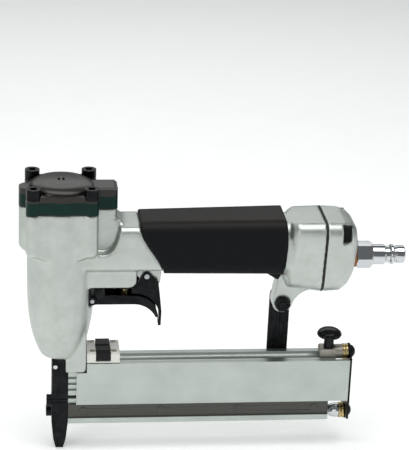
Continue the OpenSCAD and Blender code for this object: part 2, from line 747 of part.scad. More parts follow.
module spring_washers() color(BLACK) cap_screw_places() difference() {
    zcyl(cap_screw_head_d / 2 - 0.1, cap_seat_z, cap_seat_z + washer_t);
    zcyl(cap_screw_d / 2, cap_seat_z - 1, cap_seat_z + 5);
    rotate(35) box(0, 9, -0.35, 0.35, cap_seat_z - 1, cap_seat_z + 5);
}

// ---- nose ----
module nose_blank() difference() {
    box(-nose_half_x, nose_half_x, -nose_half_y, nose_half_y, 0, nose_top_z);
    // taper in side view and in front view
    side(-20, 20) for (s = [0, 1]) mirror([s, 0])
        polygon([[nose_half_x, nose_taper_z], [nose_tip_half_x + 1.5, 6], [nose_tip_half_x, 0],
            [nose_tip_half_x, -1], [20, -1], [20, nose_taper_z]]);
    along(-20, 20) for (s = [0, 1]) mirror([s, 0])
        polygon([[nose_half_y, nose_taper_z], [nose_tip_half_y, 0], [nose_tip_half_y, -1],
            [20, -1], [20, nose_taper_z]]);
    // driver channel
    box(-channel_half_x, channel_half_x, -channel_half_y, channel_half_y, -1, nose_top_z + 1);
    // two shallow bands round the block
    for (z = [nose_screw_z_high - 0.6, nose_screw_z_high + 1.4]) difference() {
        box(-20, 20, -20, 20, z, z + 0.9);
        box(-nose_half_x + 0.35, 20, -nose_half_y + 0.35, nose_half_y - 0.35, z - 1, z + 2);
    }
}
module nose_screw_places() {
    translate([-nose_half_x, -nose_screw_y, nose_screw_z_high]) rotate([0, -90, 0]) children();
    translate([-nose_half_x, nose_screw_y, nose_screw_z_low]) rotate([0, -90, 0]) children();
}
nose_screw_len = 2 * nose_half_x - 1.2;
module nose_screw_holes() nose_screw_places()
    translate([0, 0, -nose_screw_len]) cylinder(d = nose_screw_d, h = nose_screw_len + 5);
dowel_x = -2.8;
module nose_front_plate() color(BLACK) difference() {
    nose_blank();
    box(0, 20, -20, 20, -1, 100);
    nose_screw_holes();
    ycyl(nose_dowel_d / 2, -20, 20, dowel_x, nose_dowel_z);
}
pin_slot_z0 = 20.8;
module nose_rear_plate() color(BLACK) difference() {
    nose_blank();
    box(-20, 0, -20, 20, -1, 100);
    nose_screw_holes();
    box(-1, 20, -pin_slot_w / 2, pin_slot_w / 2, pin_slot_z0, pin_slot_z0 + pin_len + 0.4);
    box(nose_half_x - 0.8, 20, -20, 20, foot_z + 6, foot_z + 6.9);
}
module nose_screws() color(BLACK) nose_screw_places()
    cap_screw(nose_screw_d, nose_screw_head_d, nose_screw_head_h, nose_screw_len);
module nose_dowel() color("#c9c6bd")
    ycyl(nose_dowel_d / 2, -nose_half_y - 0.4, nose_half_y + 0.4, dowel_x, nose_dowel_z);

// ---- grip ----
grip_tip_x = 124.9;
grip_tip_z = 107.7;
module grip_sleeve() color(RUBBER) difference() {
    intersection() {
        union() {
            hull() {
                slice(grip_front_x - 1, grip_half_front, grip_bottom, grip_top_front, 8);
                slice(grip_rear_x + 2, grip_half_rear, grip_bottom - 0.4, grip_top_rear, 8);
            }
            hull() {
                slice(grip_tip_x - 9, 12.5, grip_bottom - 0.1, grip_bottom + 13, 6);
                slice(grip_tip_x + 1, 10.5, grip_tip_z - 0.2, grip_bottom + 12, 6);
                slice(grip_tip_x + 6, 10.5, grip_tip_z - 0.2, grip_bottom + 12, 6);
            }
        }
        side(-30, 30) polygon(concat(
            [[grip_front_low_x, edge_low_z - 10]], edge_points(0, edge_low_z),
            [[grip_front_x, grip_top_rear + 5]],
            [for (i = [8 : -1 : 0]) let (z = grip_bottom - 1.5 + (grip_top_rear + 2 - grip_bottom) * i / 8)
                [rear_edge_x(z), z]],
            [[grip_tip_x + 0.4, grip_tip_z], [grip_tip_x, grip_tip_z - 5]]));
    }
    along(neck_core_x, 140) core_section();
    hull() {
        slice(grip_end_x - 1.1, 15.1, grip_bottom + 0.9, rear_top - 1.5, 10);
        slice(grip_end_x + 6, 15.5, grip_bottom - 4.1, rear_top - 1.5, 10);
    }
    side(-lug_near - 0.1, rail_far + 0.1) lug_side();
}

// ---- rear end ----
cap_x0 = joint_x + rear_gasket_t;
muffler_y = rear_half - 5.9;
module rear_gasket() color(BLACK) difference() {
    hull() rear_slice(joint_x, rear_half, rear_bottom, rear_top, t = rear_gasket_t);
    rear_hollow(joint_x - 1, cap_x0 + 1);
    rear_screw_places() xcyl(2, joint_x - 1, cap_x0 + 1);
}
rear_screw_seat_x = rear_cap_x - 8;
module rear_cap() color(SILVER) difference() {
    hull() {
        rear_slice(cap_x0, rear_half, rear_bottom, rear_top);
        rear_slice(rear_cap_x - 8.9, rear_half - 0.7, rear_bottom + 0.2, rear_top - 0.4);
        rear_slice(rear_cap_x - 4.6, rear_half - 2.4, rear_bottom + 3.6, rear_top - 1.8, q = 9);
        rear_slice(rear_cap_x - 1.6, rear_half - 5, rear_bottom + 8.6, rear_top - 4.4, r = 6.5, q = 7.5);
        rear_slice(rear_cap_x - 0.1, rear_half - 7.6, rear_bottom + 12.6, rear_top - 8, r = 5.5, q = 5.5);
    }
    rear_hollow(cap_x0 - 1, rear_cap_x - 9);
    xcyl(5, cap_x0, rear_cap_x + 1, 0, plug_z);
    xcyl(8, rear_cap_x - 0.5, rear_cap_x + 1, 0, plug_z);
    // exhaust slots in the rounded rear corners
    for (s = [-1, 1]) mirror([0, s < 0 ? 1 : 0, 0])
        box(exhaust_x, exhaust_x + exhaust_len, muffler_y, rear_half + 1, exhaust_z,
            exhaust_z + exhaust_h);
    rear_screw_places() {
        xcyl(2.1, joint_x, rear_cap_x);
        xcyl(3.8, rear_screw_seat_x, rear_cap_x + 1);
    }
}
module rear_cap_screws() color(BLACK) rear_screw_places()
    translate([rear_screw_seat_x, 0, 0]) rotate([0, 90, 0])
        cap_screw(4, 7, 4, rear_screw_seat_x - joint_x + rear_screw_len - 0.5);
module exhaust_mufflers() color(BLACK) for (s = [-1, 1]) mirror([0, s < 0 ? 1 : 0, 0])
    difference() {
        box(exhaust_x, exhaust_x + exhaust_len, muffler_y, muffler_y + 1.4, exhaust_z,
            exhaust_z + exhaust_h - 1);
        for (i = [0 : 3]) box(exhaust_x + 0.4 + 1.25 * i, exhaust_x + 1 + 1.25 * i, muffler_y + 0.6,
            muffler_y + 2, exhaust_z + 1, exhaust_z + exhaust_h - 2);
    }
washer_x = rear_cap_x - 0.5;
hex_x = washer_x + plug_washer_t;
module plug_washer() color("#8a5a3c") difference() {
    xcyl(7.4, washer_x, hex_x, 0, plug_z);
    xcyl(5, washer_x - 1, hex_x + 1, 0, plug_z);
}
tube_x = hex_x + plug_hex_len;
plug_end_x = tube_x + plug_len;
module air_plug() color("#b9bdc0") difference() {
    union() {
        xcyl(5, washer_x - 9, hex_x + 1, 0, plug_z);
        intersection() {
            translate([hex_x, 0, plug_z]) rotate([0, 90, 0]) rotate(30)
                cylinder(d = plug_hex_af / cos(30), h = plug_hex_len, $fn = 6);
            translate([hex_x, 0, plug_z]) rotate([0, 90, 0]) {
                cylinder(d1 = plug_hex_af - 0.4, d2 = plug_hex_af + 2.4, h = 1.2);
                translate([0, 0, 1.2 - EPS]) cylinder(d = plug_hex_af + 2.4, h = plug_hex_len - 2.4 + 2 * EPS);
                translate([0, 0, plug_hex_len - 1.2])
                    cylinder(d1 = plug_hex_af + 2.4, d2 = plug_hex_af - 0.4, h = 1.2);
            }
        }
        // tube, locking groove, collar and spigot as one turned profile
        translate([tube_x, 0, plug_z]) rotate([0, 90, 0]) rotate_extrude() polygon([
            [0, -1], [plug_d / 2, -1], [plug_d / 2, 7], [plug_groove_d / 2, 8.2],
            [plug_groove_d / 2, 10.2], [plug_d / 2, 11.2], [plug_d / 2, 12.4],
            [plug_groove_d / 2, 13.3], [plug_groove_d / 2, 14], [plug_groove_d / 2 + 0.4, 14.4],
            [plug_groove_d / 2 + 0.4, plug_len - 0.6], [plug_groove_d / 2 - 0.2, plug_len], [0, plug_len]]);
    }
    xcyl(plug_bore_d / 2, washer_x - 10, plug_end_x + 1, 0, plug_z);
}

// ---- trigger ----
eye_r = 2.6;
trigger_bottom_z = trigger_pivot_z - eye_r;
trigger_top_z = trigger_bottom_z + trigger_depth;
bend_x = 42;
bend_r = 14.3;
bend_z = trigger_bottom_z - bend_r;
crown_r = 13.8;
crown_x = bend_x + 0.5;
crown_z = trigger_top_z - crown_r;
tail_z = 85.2;
// side view of the lever: straight bar, eye and a tail bent down in an arc
module tail_side(inner_r) intersection() {
    difference() {
        dot(crown_x, crown_z, crown_r);
        dot(bend_x, bend_z, inner_r);
    }
    area(bend_x - EPS, 70, tail_z, 120);
}
module trigger_side() {
    area(trigger_pivot_x, bend_x, trigger_bottom_z, trigger_top_z);
    area(bend_x - EPS, crown_x + EPS, trigger_bottom_z - 0.02, trigger_top_z);
    dot(trigger_pivot_x, trigger_pivot_z, eye_r);
    tail_side(bend_r);
    // ear that carries the return spring
    area(trigger_pivot_x + 1.6, trigger_pivot_x + 6.5, trigger_top_z - 1, trigger_top_z + 3.4);
}
floor_z = trigger_bottom_z + trigger_wall;
module trigger_room_side() {
    area(trigger_pivot_x + 7.5, bend_x + 1, floor_z, trigger_top_z + 9);
    difference() {
        area(bend_x, 70, 70, 120);
        dot(bend_x, bend_z, bend_r + trigger_wall);
    }
}
trigger_pin_r = 1.2;
module trigger_lever() color(BLACK) difference() {
    side(-trigger_half, trigger_half) trigger_side();
    side(-trigger_half + trigger_wall, trigger_half - trigger_wall) trigger_room_side();
    ycyl(trigger_pin_r + run_gap, -20, 20, trigger_pivot_x, trigger_pivot_z);
}
bracket_in = trigger_half + slide_gap;
bracket_t = 1.2;
bracket_x0 = trigger_room_x;
bracket_x1 = 33.5;
bracket_plate_t = 1.6;
leg_w = 2;
module bracket_screw_places()
    for (y = [-4, 4]) translate([bracket_x1 - 3, y, 0]) children();
module trigger_bracket() color(BLACK) difference() {
    union() {
        box(bracket_x0, bracket_x1, -bracket_in - bracket_t, bracket_in + bracket_t,
            belly_z - bracket_plate_t, belly_z);
        for (s = [0, 1]) mirror([0, s, 0]) side(bracket_in, bracket_in + bracket_t) {
            area(bracket_x0, bracket_x0 + leg_w, trigger_pivot_z, belly_z);
            dot(trigger_pivot_x, trigger_pivot_z, eye_r);
        }
    }
    box(trigger_pivot_x + 0.8, trigger_pivot_x + 8, -bracket_in, bracket_in, 100, belly_z + 1);
    ycyl(trigger_pin_r, -20, 20, trigger_pivot_x, trigger_pivot_z);
    bracket_screw_places() zcyl(1.5, belly_z - 5, belly_z + 1);
}
module trigger_pin() color(STEEL) {
    ycyl(trigger_pin_r, -bracket_in - bracket_t - 0.3, bracket_in + bracket_t + 0.3,
        trigger_pivot_x, trigger_pivot_z);
    bracket_screw_places() {
        zcyl(1.5, belly_z - bracket_plate_t - EPS, belly_z + 6.5);
        zcone(2, 2.6, belly_z - bracket_plate_t - 1.1, belly_z - bracket_plate_t);
    }
}

// ---- trigger valve ----
guide_low_z = belly_z - 3.6;
bushing_top_z = 121.6;
stem_tip_z = floor_z + 0.1;
stem_collar_z = 109;
collar_h = 3;
collar_r = 3.2;
module valve_guide() color(BLACK) difference() {
    union() {
        translate([0, 0, guide_low_z]) linear_extrude(belly_z - guide_low_z)
            dot(valve_x, 0, 5.6);
        box(valve_x + 1, valve_x + 3.4, -5, 5, belly_z - 2, belly_z);
    }
    zcyl(stem_r + run_gap, guide_low_z - 1, belly_z + 1, valve_x);
    box(0, bracket_x1 + slide_gap, -20, 20, 90, belly_z + 1);
}
module valve_bushing() color(BRASS) difference() {
    zcyl(bushing_r, belly_z, bushing_top_z, valve_x);
    zcyl(stem_r + run_gap, belly_z - 1, stem_collar_z, valve_x);
    zcyl(collar_r + 0.1, stem_collar_z - 0.2, bushing_top_z - 1, valve_x);
    zcyl(1, bushing_top_z - 2, bushing_top_z + 1, valve_x);
}
module valve_stem() color(BRASS) {
    translate([valve_x, 0, stem_tip_z + stem_r]) sphere(r = stem_r);
    zcyl(stem_r, stem_tip_z + stem_r, stem_collar_z + 1, valve_x);
    zcyl(collar_r, stem_collar_z, stem_collar_z + collar_h, valve_x);
}
valve_spring_r = 2.2;
valve_spring_wire = 0.3;
valve_spring_curls = 5;
valve_spring_z0 = stem_collar_z + collar_h + valve_spring_wire + 0.05;
valve_spring_z1 = bushing_top_z - 1 - valve_spring_wire - 0.05;
module valve_spring() color(STEEL) translate([valve_x, 0, valve_spring_z0])
    coil(valve_spring_r, valve_spring_wire, valve_spring_z1 - valve_spring_z0, valve_spring_curls);

// ---- safety lever ----
safety_gap = 0.9;
safety_r = 2.6;
blade_x = 58.2;
module safety_side() difference() {
    union() {
        dot(safety_pivot_x, safety_pivot_z, safety_r);
        polygon([[safety_pivot_x - 2.2, safety_pivot_z + 1.2], [42.2, 103.6], [41, 103.4],
            [40.8, 98], [blade_x - 1.6, 84], [blade_x - 1.3, safety_tip_z],
            [blade_x + 0.3, safety_tip_z], [blade_x + 0.5, 86], [57.2, 99.6], [56.2, 107],
            [safety_pivot_x + 2, safety_pivot_z + 1.7]]);
    }
    dot(crown_x, crown_z, crown_r + safety_gap);
}
safety_pin_r = 1.5;
web_top_z = lug_low_z - 2.4;
module safety_lever() color(BLACK) difference() {
    side(-safety_half, safety_half) safety_side();
    // hollow between the two plates, closed by the web along the rear edge
    side(-safety_half + safety_wall, safety_half - safety_wall)
        polygon([[36, 96.5], [54, 96.5], [56, 99.4], [55.6, web_top_z], [62, web_top_z],
            [62, 120], [36, 120]]);
    // below the plates only a narrow blade is left
    for (s = [0, 1]) mirror([0, s, 0]) box(50, 62, 2.6, 8, 70, 88);
    ycyl(safety_pin_r + run_gap, -20, 20, safety_pivot_x, safety_pivot_z);
}
module safety_pin() color(STEEL)
    ycyl(safety_pin_r, -safety_half - 0.5, safety_half + 0.5, safety_pivot_x, safety_pivot_z);

// ---- magazine rail ----
trough_r = 5;
channel_y = 3.6;
channel_z = 36;
channel_r = 2.9;
neck_w = 2;
tee_neck = 2.2;
tee_head = 5.2;
tee_depth = 3.6;
tee_high_z = 52;
tee_low_z = 34.5;
strip_top_z = cover_low_z - slide_gap;
strip_low_z = 21.6;
strip_t = 1.4;
strap_low_z = 24;
module tee_slot(z) {
    area(-rail_near - 1, -rail_near + tee_depth, z - tee_neck / 2, z + tee_neck / 2);
    area(-rail_near + 1.6, -rail_near + tee_depth, z - tee_head / 2, z + tee_head / 2);
}
module rail_section() difference() {
    union() {
        area(-rail_near, rail_far, rail_bottom, rail_top);
        area(-cover_face, rail_far, rail_bottom, strip_low_z);
    }
    // trough along the top, slots for the cover, grooves between them
    dot(0, end_screw_high_z, trough_r);
    for (z = [tee_high_z, tee_low_z]) tee_slot(z);
    for (z = [38.6, 42.4, 46.2]) area(-rail_near - 1, -rail_near + 1.4, z, z + 1.7);
    // slot for the pins and round channel for the pusher spring
    area(-pin_slot_w / 2, pin_slot_w / 2, pin_slot_z0, pin_slot_z0 + pin_len + 0.4);
    area(0, channel_y, channel_z - neck_w / 2, channel_z + neck_w / 2);
    dot(channel_y, channel_z, channel_r);
    // grooves along the far side
    for (z = [32, 44]) area(rail_far - 1, rail_far + 1, z, z + 2);
}
strap_screw_zs = [50, 42];
module magazine_rail() color("#aeb8b0") difference() {
    along(nose_half_x, rail_end_x) rail_section();
    // step under the foot and short lower part
    box(0, foot_x1 + 0.3, -20, 20, foot_z, 80);
    box(rail_low_end_x, 200, -20, 20, 0, cover_low_z + 0.4);
    // the latch pin drops into a slot that is open to the rear
    box(latch_x - 2.3, 200, -2.3, 2.3, latch_hole_z, 60);
    for (z = strap_screw_zs) ycyl(1.6, rail_far - 3.4, rail_far + 1, lug_x, z);
    clear_screw_places() zcyl(1, rail_top - clear_screw_depth - 0.1, rail_top + 1);
}
latch_hole_z = 52.4;
module pin_track_strip() color("#4a4a46") difference() {
    box(nose_half_x, rail_low_end_x, -rail_near - strip_t, -rail_near, strip_low_z, strip_top_z);
    rivet_places() ycyl(1.5, -20, 0);
}
rivet_first_x = 13.5;
rivet_z = (strip_low_z + strip_top_z) / 2;
module rivet_places() for (i = [0 : 3])
    translate([rivet_first_x + rivet_pitch * i, 0, rivet_z]) children();
module strip_rivets() color(STEEL) rivet_places() {
    ycyl(1.5, -rail_near - strip_t, -rail_near);
    ycyl(2.3, -rail_near - strip_t - 0.3, -rail_near - strip_t);
}

// ---- strap ----
module strap_bracket() color(BLACK) difference() {
    side(rail_far, rail_far + strap_t) {
        dot(lug_x + 0.4, lug_z, strap_w / 2);
        polygon([[lug_x + 0.4 - strap_w / 2, lug_z], [lug_x - strap_w / 2, strap_low_z + 8],
            [lug_x - strap_w / 2 + 2, strap_low_z + 6], [lug_x + strap_w / 2 - 2, strap_low_z + 6],
            [lug_x + strap_w / 2, strap_low_z + 8], [lug_x + 0.4 + strap_w / 2, lug_z]]);
    }
    ycyl(lug_bolt_d / 2, 0, 20, lug_x, lug_z);
    for (z = strap_screw_zs) ycyl(1.6, 0, 20, lug_x, z);
}
module strap_bolt() color(BLACK) {
    ycyl(lug_bolt_d / 2, -lug_near - 2.6, rail_far + strap_t, lug_x, lug_z);
    difference() {
        ycyl(4.4, rail_far + strap_t, rail_far + strap_t + 3.2, lug_x, lug_z);
        translate([lug_x, rail_far + strap_t + 4, lug_z]) rotate([90, 0, 0])
            cylinder(d = 4.6, h = 2.6, $fn = 6);
    }
}
nut_t = 3.4;
nut_y = -lug_near + nut_recess_d;
module strap_nut() color(BLACK) difference() {
    translate([lug_x, nut_y, lug_z]) rotate([90, 0, 0])
        cylinder(d = 8 / cos(30), h = nut_t, $fn = 6);
    ycyl(lug_bolt_d / 2, -20, 20, lug_x, lug_z);
}
module strap_screws() color(BLACK) for (z = strap_screw_zs) {
    ycyl(1.6, rail_far - 3.2, rail_far + strap_t + EPS, lug_x, z);
    difference() {
        ycyl(3.2, rail_far + strap_t, rail_far + strap_t + 2, lug_x, z);
        translate([lug_x, rail_far + strap_t + 3, z]) rotate([90, 0, 0])
            cylinder(d = 3, h = 2, $fn = 6);
    }
}

// ---- clear block with its catch ----
clear_near = -9;
clear_far = rail_far;
clear_top = rail_top + clear_h;
clear_mid = clear_x + clear_len / 2;
catch_half = catch_w / 2;
catch_room = 0.3;
catch_pivot_y = 3;
catch_pivot_z = clear_top - 2.6;
clear_screw_depth = 2.2;
module clear_screw_places() for (x = [clear_x + 3.4, clear_x + clear_len - 3.4], y = [-5.8, 6.6])
    translate([x, y, 0]) children();
module clear_block() color("#e4e6dc", 0.6) difference() {
    translate([clear_x, 0, 0]) along(0, clear_len) difference() {
        area(clear_near, clear_far, rail_top, clear_top);
        area(-20, -rail_near + 0.2, rail_top - 1, rail_top + 0.4);
        difference() {
            area(clear_near - 1, clear_near + 2, clear_top - 2, clear_top + 1);
            dot(clear_near + 2, clear_top - 2, 2);
        }
    }
    // open middle for the catch
    box(clear_mid - catch_half - catch_room, clear_mid + catch_half + catch_room,
        -20, 20, rail_top + 1.2, 90);
    clear_screw_places() {
        zcyl(1, rail_top - 1, clear_top + 1);
        zcyl(1.9, clear_top - 3.4, clear_top + 1);
    }
    xcyl(0.9, clear_x - 1, clear_x + clear_len + 1, catch_pivot_y, catch_pivot_z);
}
module clear_block_screws() color("#8a6a3c") clear_screw_places() {
    zcyl(1, rail_top - clear_screw_depth, clear_top - 3);
    difference() {
        zcyl(1.8, clear_top - 3.4, clear_top - 2);
        box(-3, 3, -0.25, 0.25, clear_top - 2.6, clear_top);
    }
}
module catch_pin() color(STEEL)
    xcyl(0.9, clear_x + 1, clear_x + clear_len - 1, catch_pivot_y, catch_pivot_z);
catch_low = rail_top + 1.5;
catch_top = clear_top + 1.2;
module catch() color(BLACK) difference() {
    union() {
        along(clear_mid - catch_half, clear_mid + catch_half) difference() {
            union() {
                area(clear_near + 1.6, catch_pivot_y, catch_low, catch_top);
                area(clear_near, catch_pivot_y, catch_low + 0.6, catch_top - 1.6);
                dot(clear_near + 1.6, catch_top - 1.6, 1.6);
                dot(catch_pivot_y, catch_pivot_z - 0.05, 3);
                area(catch_pivot_y - 0.1, clear_far - 0.5, catch_pivot_z, catch_top);
            }
        }
    }
    // finger hollow in the top
    xcyl(7, 0, 60, -2.4, catch_top + 6.2);
    xcyl(0.9 + run_gap, 0, 60, catch_pivot_y, catch_pivot_z);
}

// ---- sliding cover ----
cover_in = rail_near + slide_gap;
tee_gap = 0.25;
module cover_tee(z) {
    area(-cover_in - EPS, -rail_near + tee_depth - tee_gap,
        z - tee_neck / 2 + tee_gap, z + tee_neck / 2 - tee_gap);
    area(-rail_near + 1.6 + tee_gap, -rail_near + tee_depth - tee_gap,
        z - tee_head / 2 + tee_gap, z + tee_head / 2 - tee_gap);
}
module cover_section() {
    area(-cover_face, -cover_in, cover_low_z, rail_top);
    for (z = [tee_high_z, tee_low_z]) cover_tee(z);
}
module magazine_cover() color("#b4beb6") difference() {
    along(cover_front_x, end_plate_x) cover_section();
    // notch that clears the foot of the casting
    box(0, foot_x1 + 0.4, -20, 20, foot_z - 0.2, 80);
    // the runners stop before the end plate's flange
    box(flange_x0 - 0.2, 200, -cover_in, 20, 0, 80);
}
flange_x0 = end_plate_x - 7.6;
flange_t = 1.2;
tab_r = 5;
module end_plate() color(BLACK) difference() {
    union() {
        along(end_plate_x, end_plate_x + end_plate_t) {
            rounded(cover_face, cover_low_z - 10, rail_top + 1.4, 1);
            area(-cover_face, cover_face - 1, rail_bottom, cover_low_z);
            for (z = [end_screw_low_z, end_screw_high_z]) dot(0, z, tab_r);
        }
        // flange bent forward and riveted inside the cover
        box(flange_x0, end_plate_x + EPS, -cover_in, -cover_in + flange_t, 33, 55);
    }
    for (z = [end_screw_low_z, end_screw_high_z])
        xcyl(2, end_plate_x - 1, end_plate_x + end_plate_t + 1, 0, z);
}
button_h = 3.3;
button_r = 3.8;
module end_screws() color(BLACK) for (z = [end_screw_low_z, end_screw_high_z])
    translate([end_plate_x + end_plate_t, 0, z]) rotate([0, 90, 0]) difference() {
        union() {
            translate([0, 0, -9.5]) cylinder(r = 2, h = 10);
            intersection() {
                cylinder(r = button_r, h = button_h);
                translate([0, 0, button_h - 4.3]) sphere(r = 4.3);
            }
        }
        translate([0, 0, 1]) cylinder(d = 2.9, h = 5, $fn = 6);
    }
bush_x0 = end_plate_x - brass_len;
module brass_bushes() color(BRASS) for (z = [end_screw_low_z, end_screw_high_z]) difference() {
    union() {
        xcyl(brass_r - 0.5, bush_x0, end_plate_x, 0, z);
        xcyl(brass_r, bush_x0 + 0.3, bush_x0 + 1.7, 0, z);
        xcyl(brass_r, bush_x0 + 2.1, end_plate_x - 0.3, 0, z);
    }
    xcyl(2, bush_x0 - 1, end_plate_x + 1, 0, z);
}
locator_len = 6.8;
module locator_profile() polygon([[0, 0], [2.2, 0], [3.4, 1.2], [4.1, 3], [4.4, 5], [4.4, locator_len],
    [0, locator_len]]);
module lower_locator() color(STEEL) difference() {
    translate([bush_x0 - locator_len, 0, end_screw_low_z]) rotate([0, 90, 0])
        rotate_extrude() locator_profile();
    xcyl(2, bush_x0 - 4.6, bush_x0 + 1, 0, end_screw_low_z);
}

// ---- latch ----
latch_half = 4.4;
latch_low_z = rail_top + 0.4;
latch_deck_z = 62;
latch_pin_r = 1.9;
latch_front_x = latch_x - 5.6;
latch_back_x = bush_x0;
latch_roof_z = latch_deck_z - 1.1;
latch_room_r = 3.1;
module latch_body() color("#9a968c") difference() {
    union() {
        side(-latch_half, latch_half) polygon([[latch_front_x, latch_low_z],
            [latch_front_x, latch_deck_z - 0.8], [latch_front_x + 0.8, latch_deck_z],
            [latch_x + 3.4, latch_deck_z], [latch_x + 4.2, latch_low_z]]);
        xcyl(latch_half, latch_front_x + 0.6, latch_back_x, 0, end_screw_high_z);
    }
    zcyl(latch_pin_r + run_gap, 40, 80, latch_x);
    zcyl(latch_room_r, 40, latch_roof_z, latch_x);
    box(latch_front_x - 1, latch_x + 3.4, -20, 20, latch_deck_z, 80);
    xcyl(2, latch_back_x - 4.6, latch_back_x + 1, 0, end_screw_high_z);
    zcyl(0.7, latch_deck_z - 1, 80, latch_x + 4.8, -1.8);
}
latch_foot_z = latch_hole_z + 0.3;
latch_collar_z = end_screw_high_z - 3;
latch_collar_h = 0.8;
module latch_pin() color(STEEL) {
    zcyl(latch_pin_r, latch_foot_z, knob_z + 2, latch_x);
    zcyl(latch_room_r - 0.2, latch_collar_z, latch_collar_z + latch_collar_h, latch_x);
}
latch_coil_r = 2.5;
latch_coil_wire = 0.25;
latch_coil_curls = 3;
latch_coil_z0 = latch_collar_z + latch_collar_h + latch_coil_wire + 0.05;
latch_coil_z1 = latch_roof_z - latch_coil_wire - 0.05;
module latch_spring() color(STEEL) translate([latch_x, 0, latch_coil_z0])
    coil(latch_coil_r, latch_coil_wire, latch_coil_z1 - latch_coil_z0, latch_coil_curls);
knob_stem_r = 3.1;
knob_rim_h = 1.3;
KNOB_STEPS = 7;
module latch_knob() color(BLACK) difference() {
    translate([latch_x, 0, 0]) rotate_extrude() polygon(concat(
        [[0, latch_deck_z], [knob_stem_r, latch_deck_z], [knob_stem_r - 0.2, knob_z - 2],
         [knob_stem_r + 0.3, knob_z - 0.4], [knob_r - 2, knob_z], [knob_r - 0.5, knob_z + 0.4]],
        [for (i = [0 : KNOB_STEPS]) let (a = 90 * i / KNOB_STEPS)
            [knob_r * cos(a), knob_z + knob_rim_h + (knob_h - knob_rim_h) * sin(a)]]));
    zcyl(latch_pin_r, latch_deck_z - 1, knob_z + 2, latch_x);
}

// ---- pusher with its rod and spring ----
pusher_x0 = nose_half_x + 0.4;
slug_len = 12;
rod_r = 0.8;
module spring_rod() color(STEEL) xcyl(rod_r, pusher_x0 + 6, end_plate_x, channel_y, channel_z);
module pusher() color("#c9c6bd") difference() {
    union() {
        box(pusher_x0, pusher_x0 + slug_len, -pin_slot_w / 2 + 0.1, pin_slot_w / 2 - 0.1,
            pin_slot_z0 + 0.3, pin_slot_z0 + pin_len);
        box(pusher_x0 + 1, pusher_x0 + slug_len, 0, channel_y, channel_z - neck_w / 2 + 0.15,
            channel_z + neck_w / 2 - 0.15);
        xcyl(channel_r - 0.1, pusher_x0 + 1, pusher_x0 + slug_len, channel_y, channel_z);
    }
    xcyl(rod_r + run_gap, 0, 60, channel_y, channel_z);
}
pusher_coil_r = 1.95;
pusher_coil_wire = 0.3;
pusher_coil_x0 = pusher_x0 + slug_len + pusher_coil_wire + 0.1;
pusher_coil_x1 = end_plate_x - pusher_coil_wire - 0.1;
module pusher_spring() color(STEEL)
    translate([pusher_coil_x0, channel_y, channel_z]) rotate([0, 90, 0])
        coil(pusher_coil_r, pusher_coil_wire, pusher_coil_x1 - pusher_coil_x0, pusher_spring_curls);

echo(least_coil_gap = min(
    coil_gap(pusher_coil_wire, pusher_coil_x1 - pusher_coil_x0, pusher_spring_curls, pusher_coil_r),
    coil_gap(head_spring_wire, head_spring_z1 - head_spring_z0, head_spring_curls, head_spring_r),
    coil_gap(valve_spring_wire, valve_spring_z1 - valve_spring_z0, valve_spring_curls, valve_spring_r),
    coil_gap(latch_coil_wire, latch_coil_z1 - latch_coil_z0, latch_coil_curls, latch_coil_r)));

main_housing();
cylinder_sleeve();
bumper();
piston_driver();
piston_ring();
head_valve();
head_valve_spring();
head_gasket();
head_ring();
cap_cover();
cap_screws();
spring_washers();
nose_front_plate();
nose_rear_plate();
nose_screws();
nose_dowel();
grip_sleeve();
rear_gasket();
rear_cap();
rear_cap_screws();
exhaust_mufflers();
plug_washer();
air_plug();
trigger_bracket();
trigger_pin();
trigger_lever();
valve_guide();
valve_bushing();
valve_stem();
valve_spring();
safety_pin();
safety_lever();
magazine_rail();
pin_track_strip();
strip_rivets();
strap_bracket();
strap_bolt();
strap_nut();
strap_screws();
clear_block();
clear_block_screws();
catch_pin();
catch();
magazine_cover();
end_plate();
end_screws();
brass_bushes();
lower_locator();
latch_body();
latch_spring();
latch_pin();
latch_knob();
spring_rod();
pusher();
pusher_spring();
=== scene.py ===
import json
from math import cos, pi, radians, sin

import bpy
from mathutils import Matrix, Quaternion, Vector

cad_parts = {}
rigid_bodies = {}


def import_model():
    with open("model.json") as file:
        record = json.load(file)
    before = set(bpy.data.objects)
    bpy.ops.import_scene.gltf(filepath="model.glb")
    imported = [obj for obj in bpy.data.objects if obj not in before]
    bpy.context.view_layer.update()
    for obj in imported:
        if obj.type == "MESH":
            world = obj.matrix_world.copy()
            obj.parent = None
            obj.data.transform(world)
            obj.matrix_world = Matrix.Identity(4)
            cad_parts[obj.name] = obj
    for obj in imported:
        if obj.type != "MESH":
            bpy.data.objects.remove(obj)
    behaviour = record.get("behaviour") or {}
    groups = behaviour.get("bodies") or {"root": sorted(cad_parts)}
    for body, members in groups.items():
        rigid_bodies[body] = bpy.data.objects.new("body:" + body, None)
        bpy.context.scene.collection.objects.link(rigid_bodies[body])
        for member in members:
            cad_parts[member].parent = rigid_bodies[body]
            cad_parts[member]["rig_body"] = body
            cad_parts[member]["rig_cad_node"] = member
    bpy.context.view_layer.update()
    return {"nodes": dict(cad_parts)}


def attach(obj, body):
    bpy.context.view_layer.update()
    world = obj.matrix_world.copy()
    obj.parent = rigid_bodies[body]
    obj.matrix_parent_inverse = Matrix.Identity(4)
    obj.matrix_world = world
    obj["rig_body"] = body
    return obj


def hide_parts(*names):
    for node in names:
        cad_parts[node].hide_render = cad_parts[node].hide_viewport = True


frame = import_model()

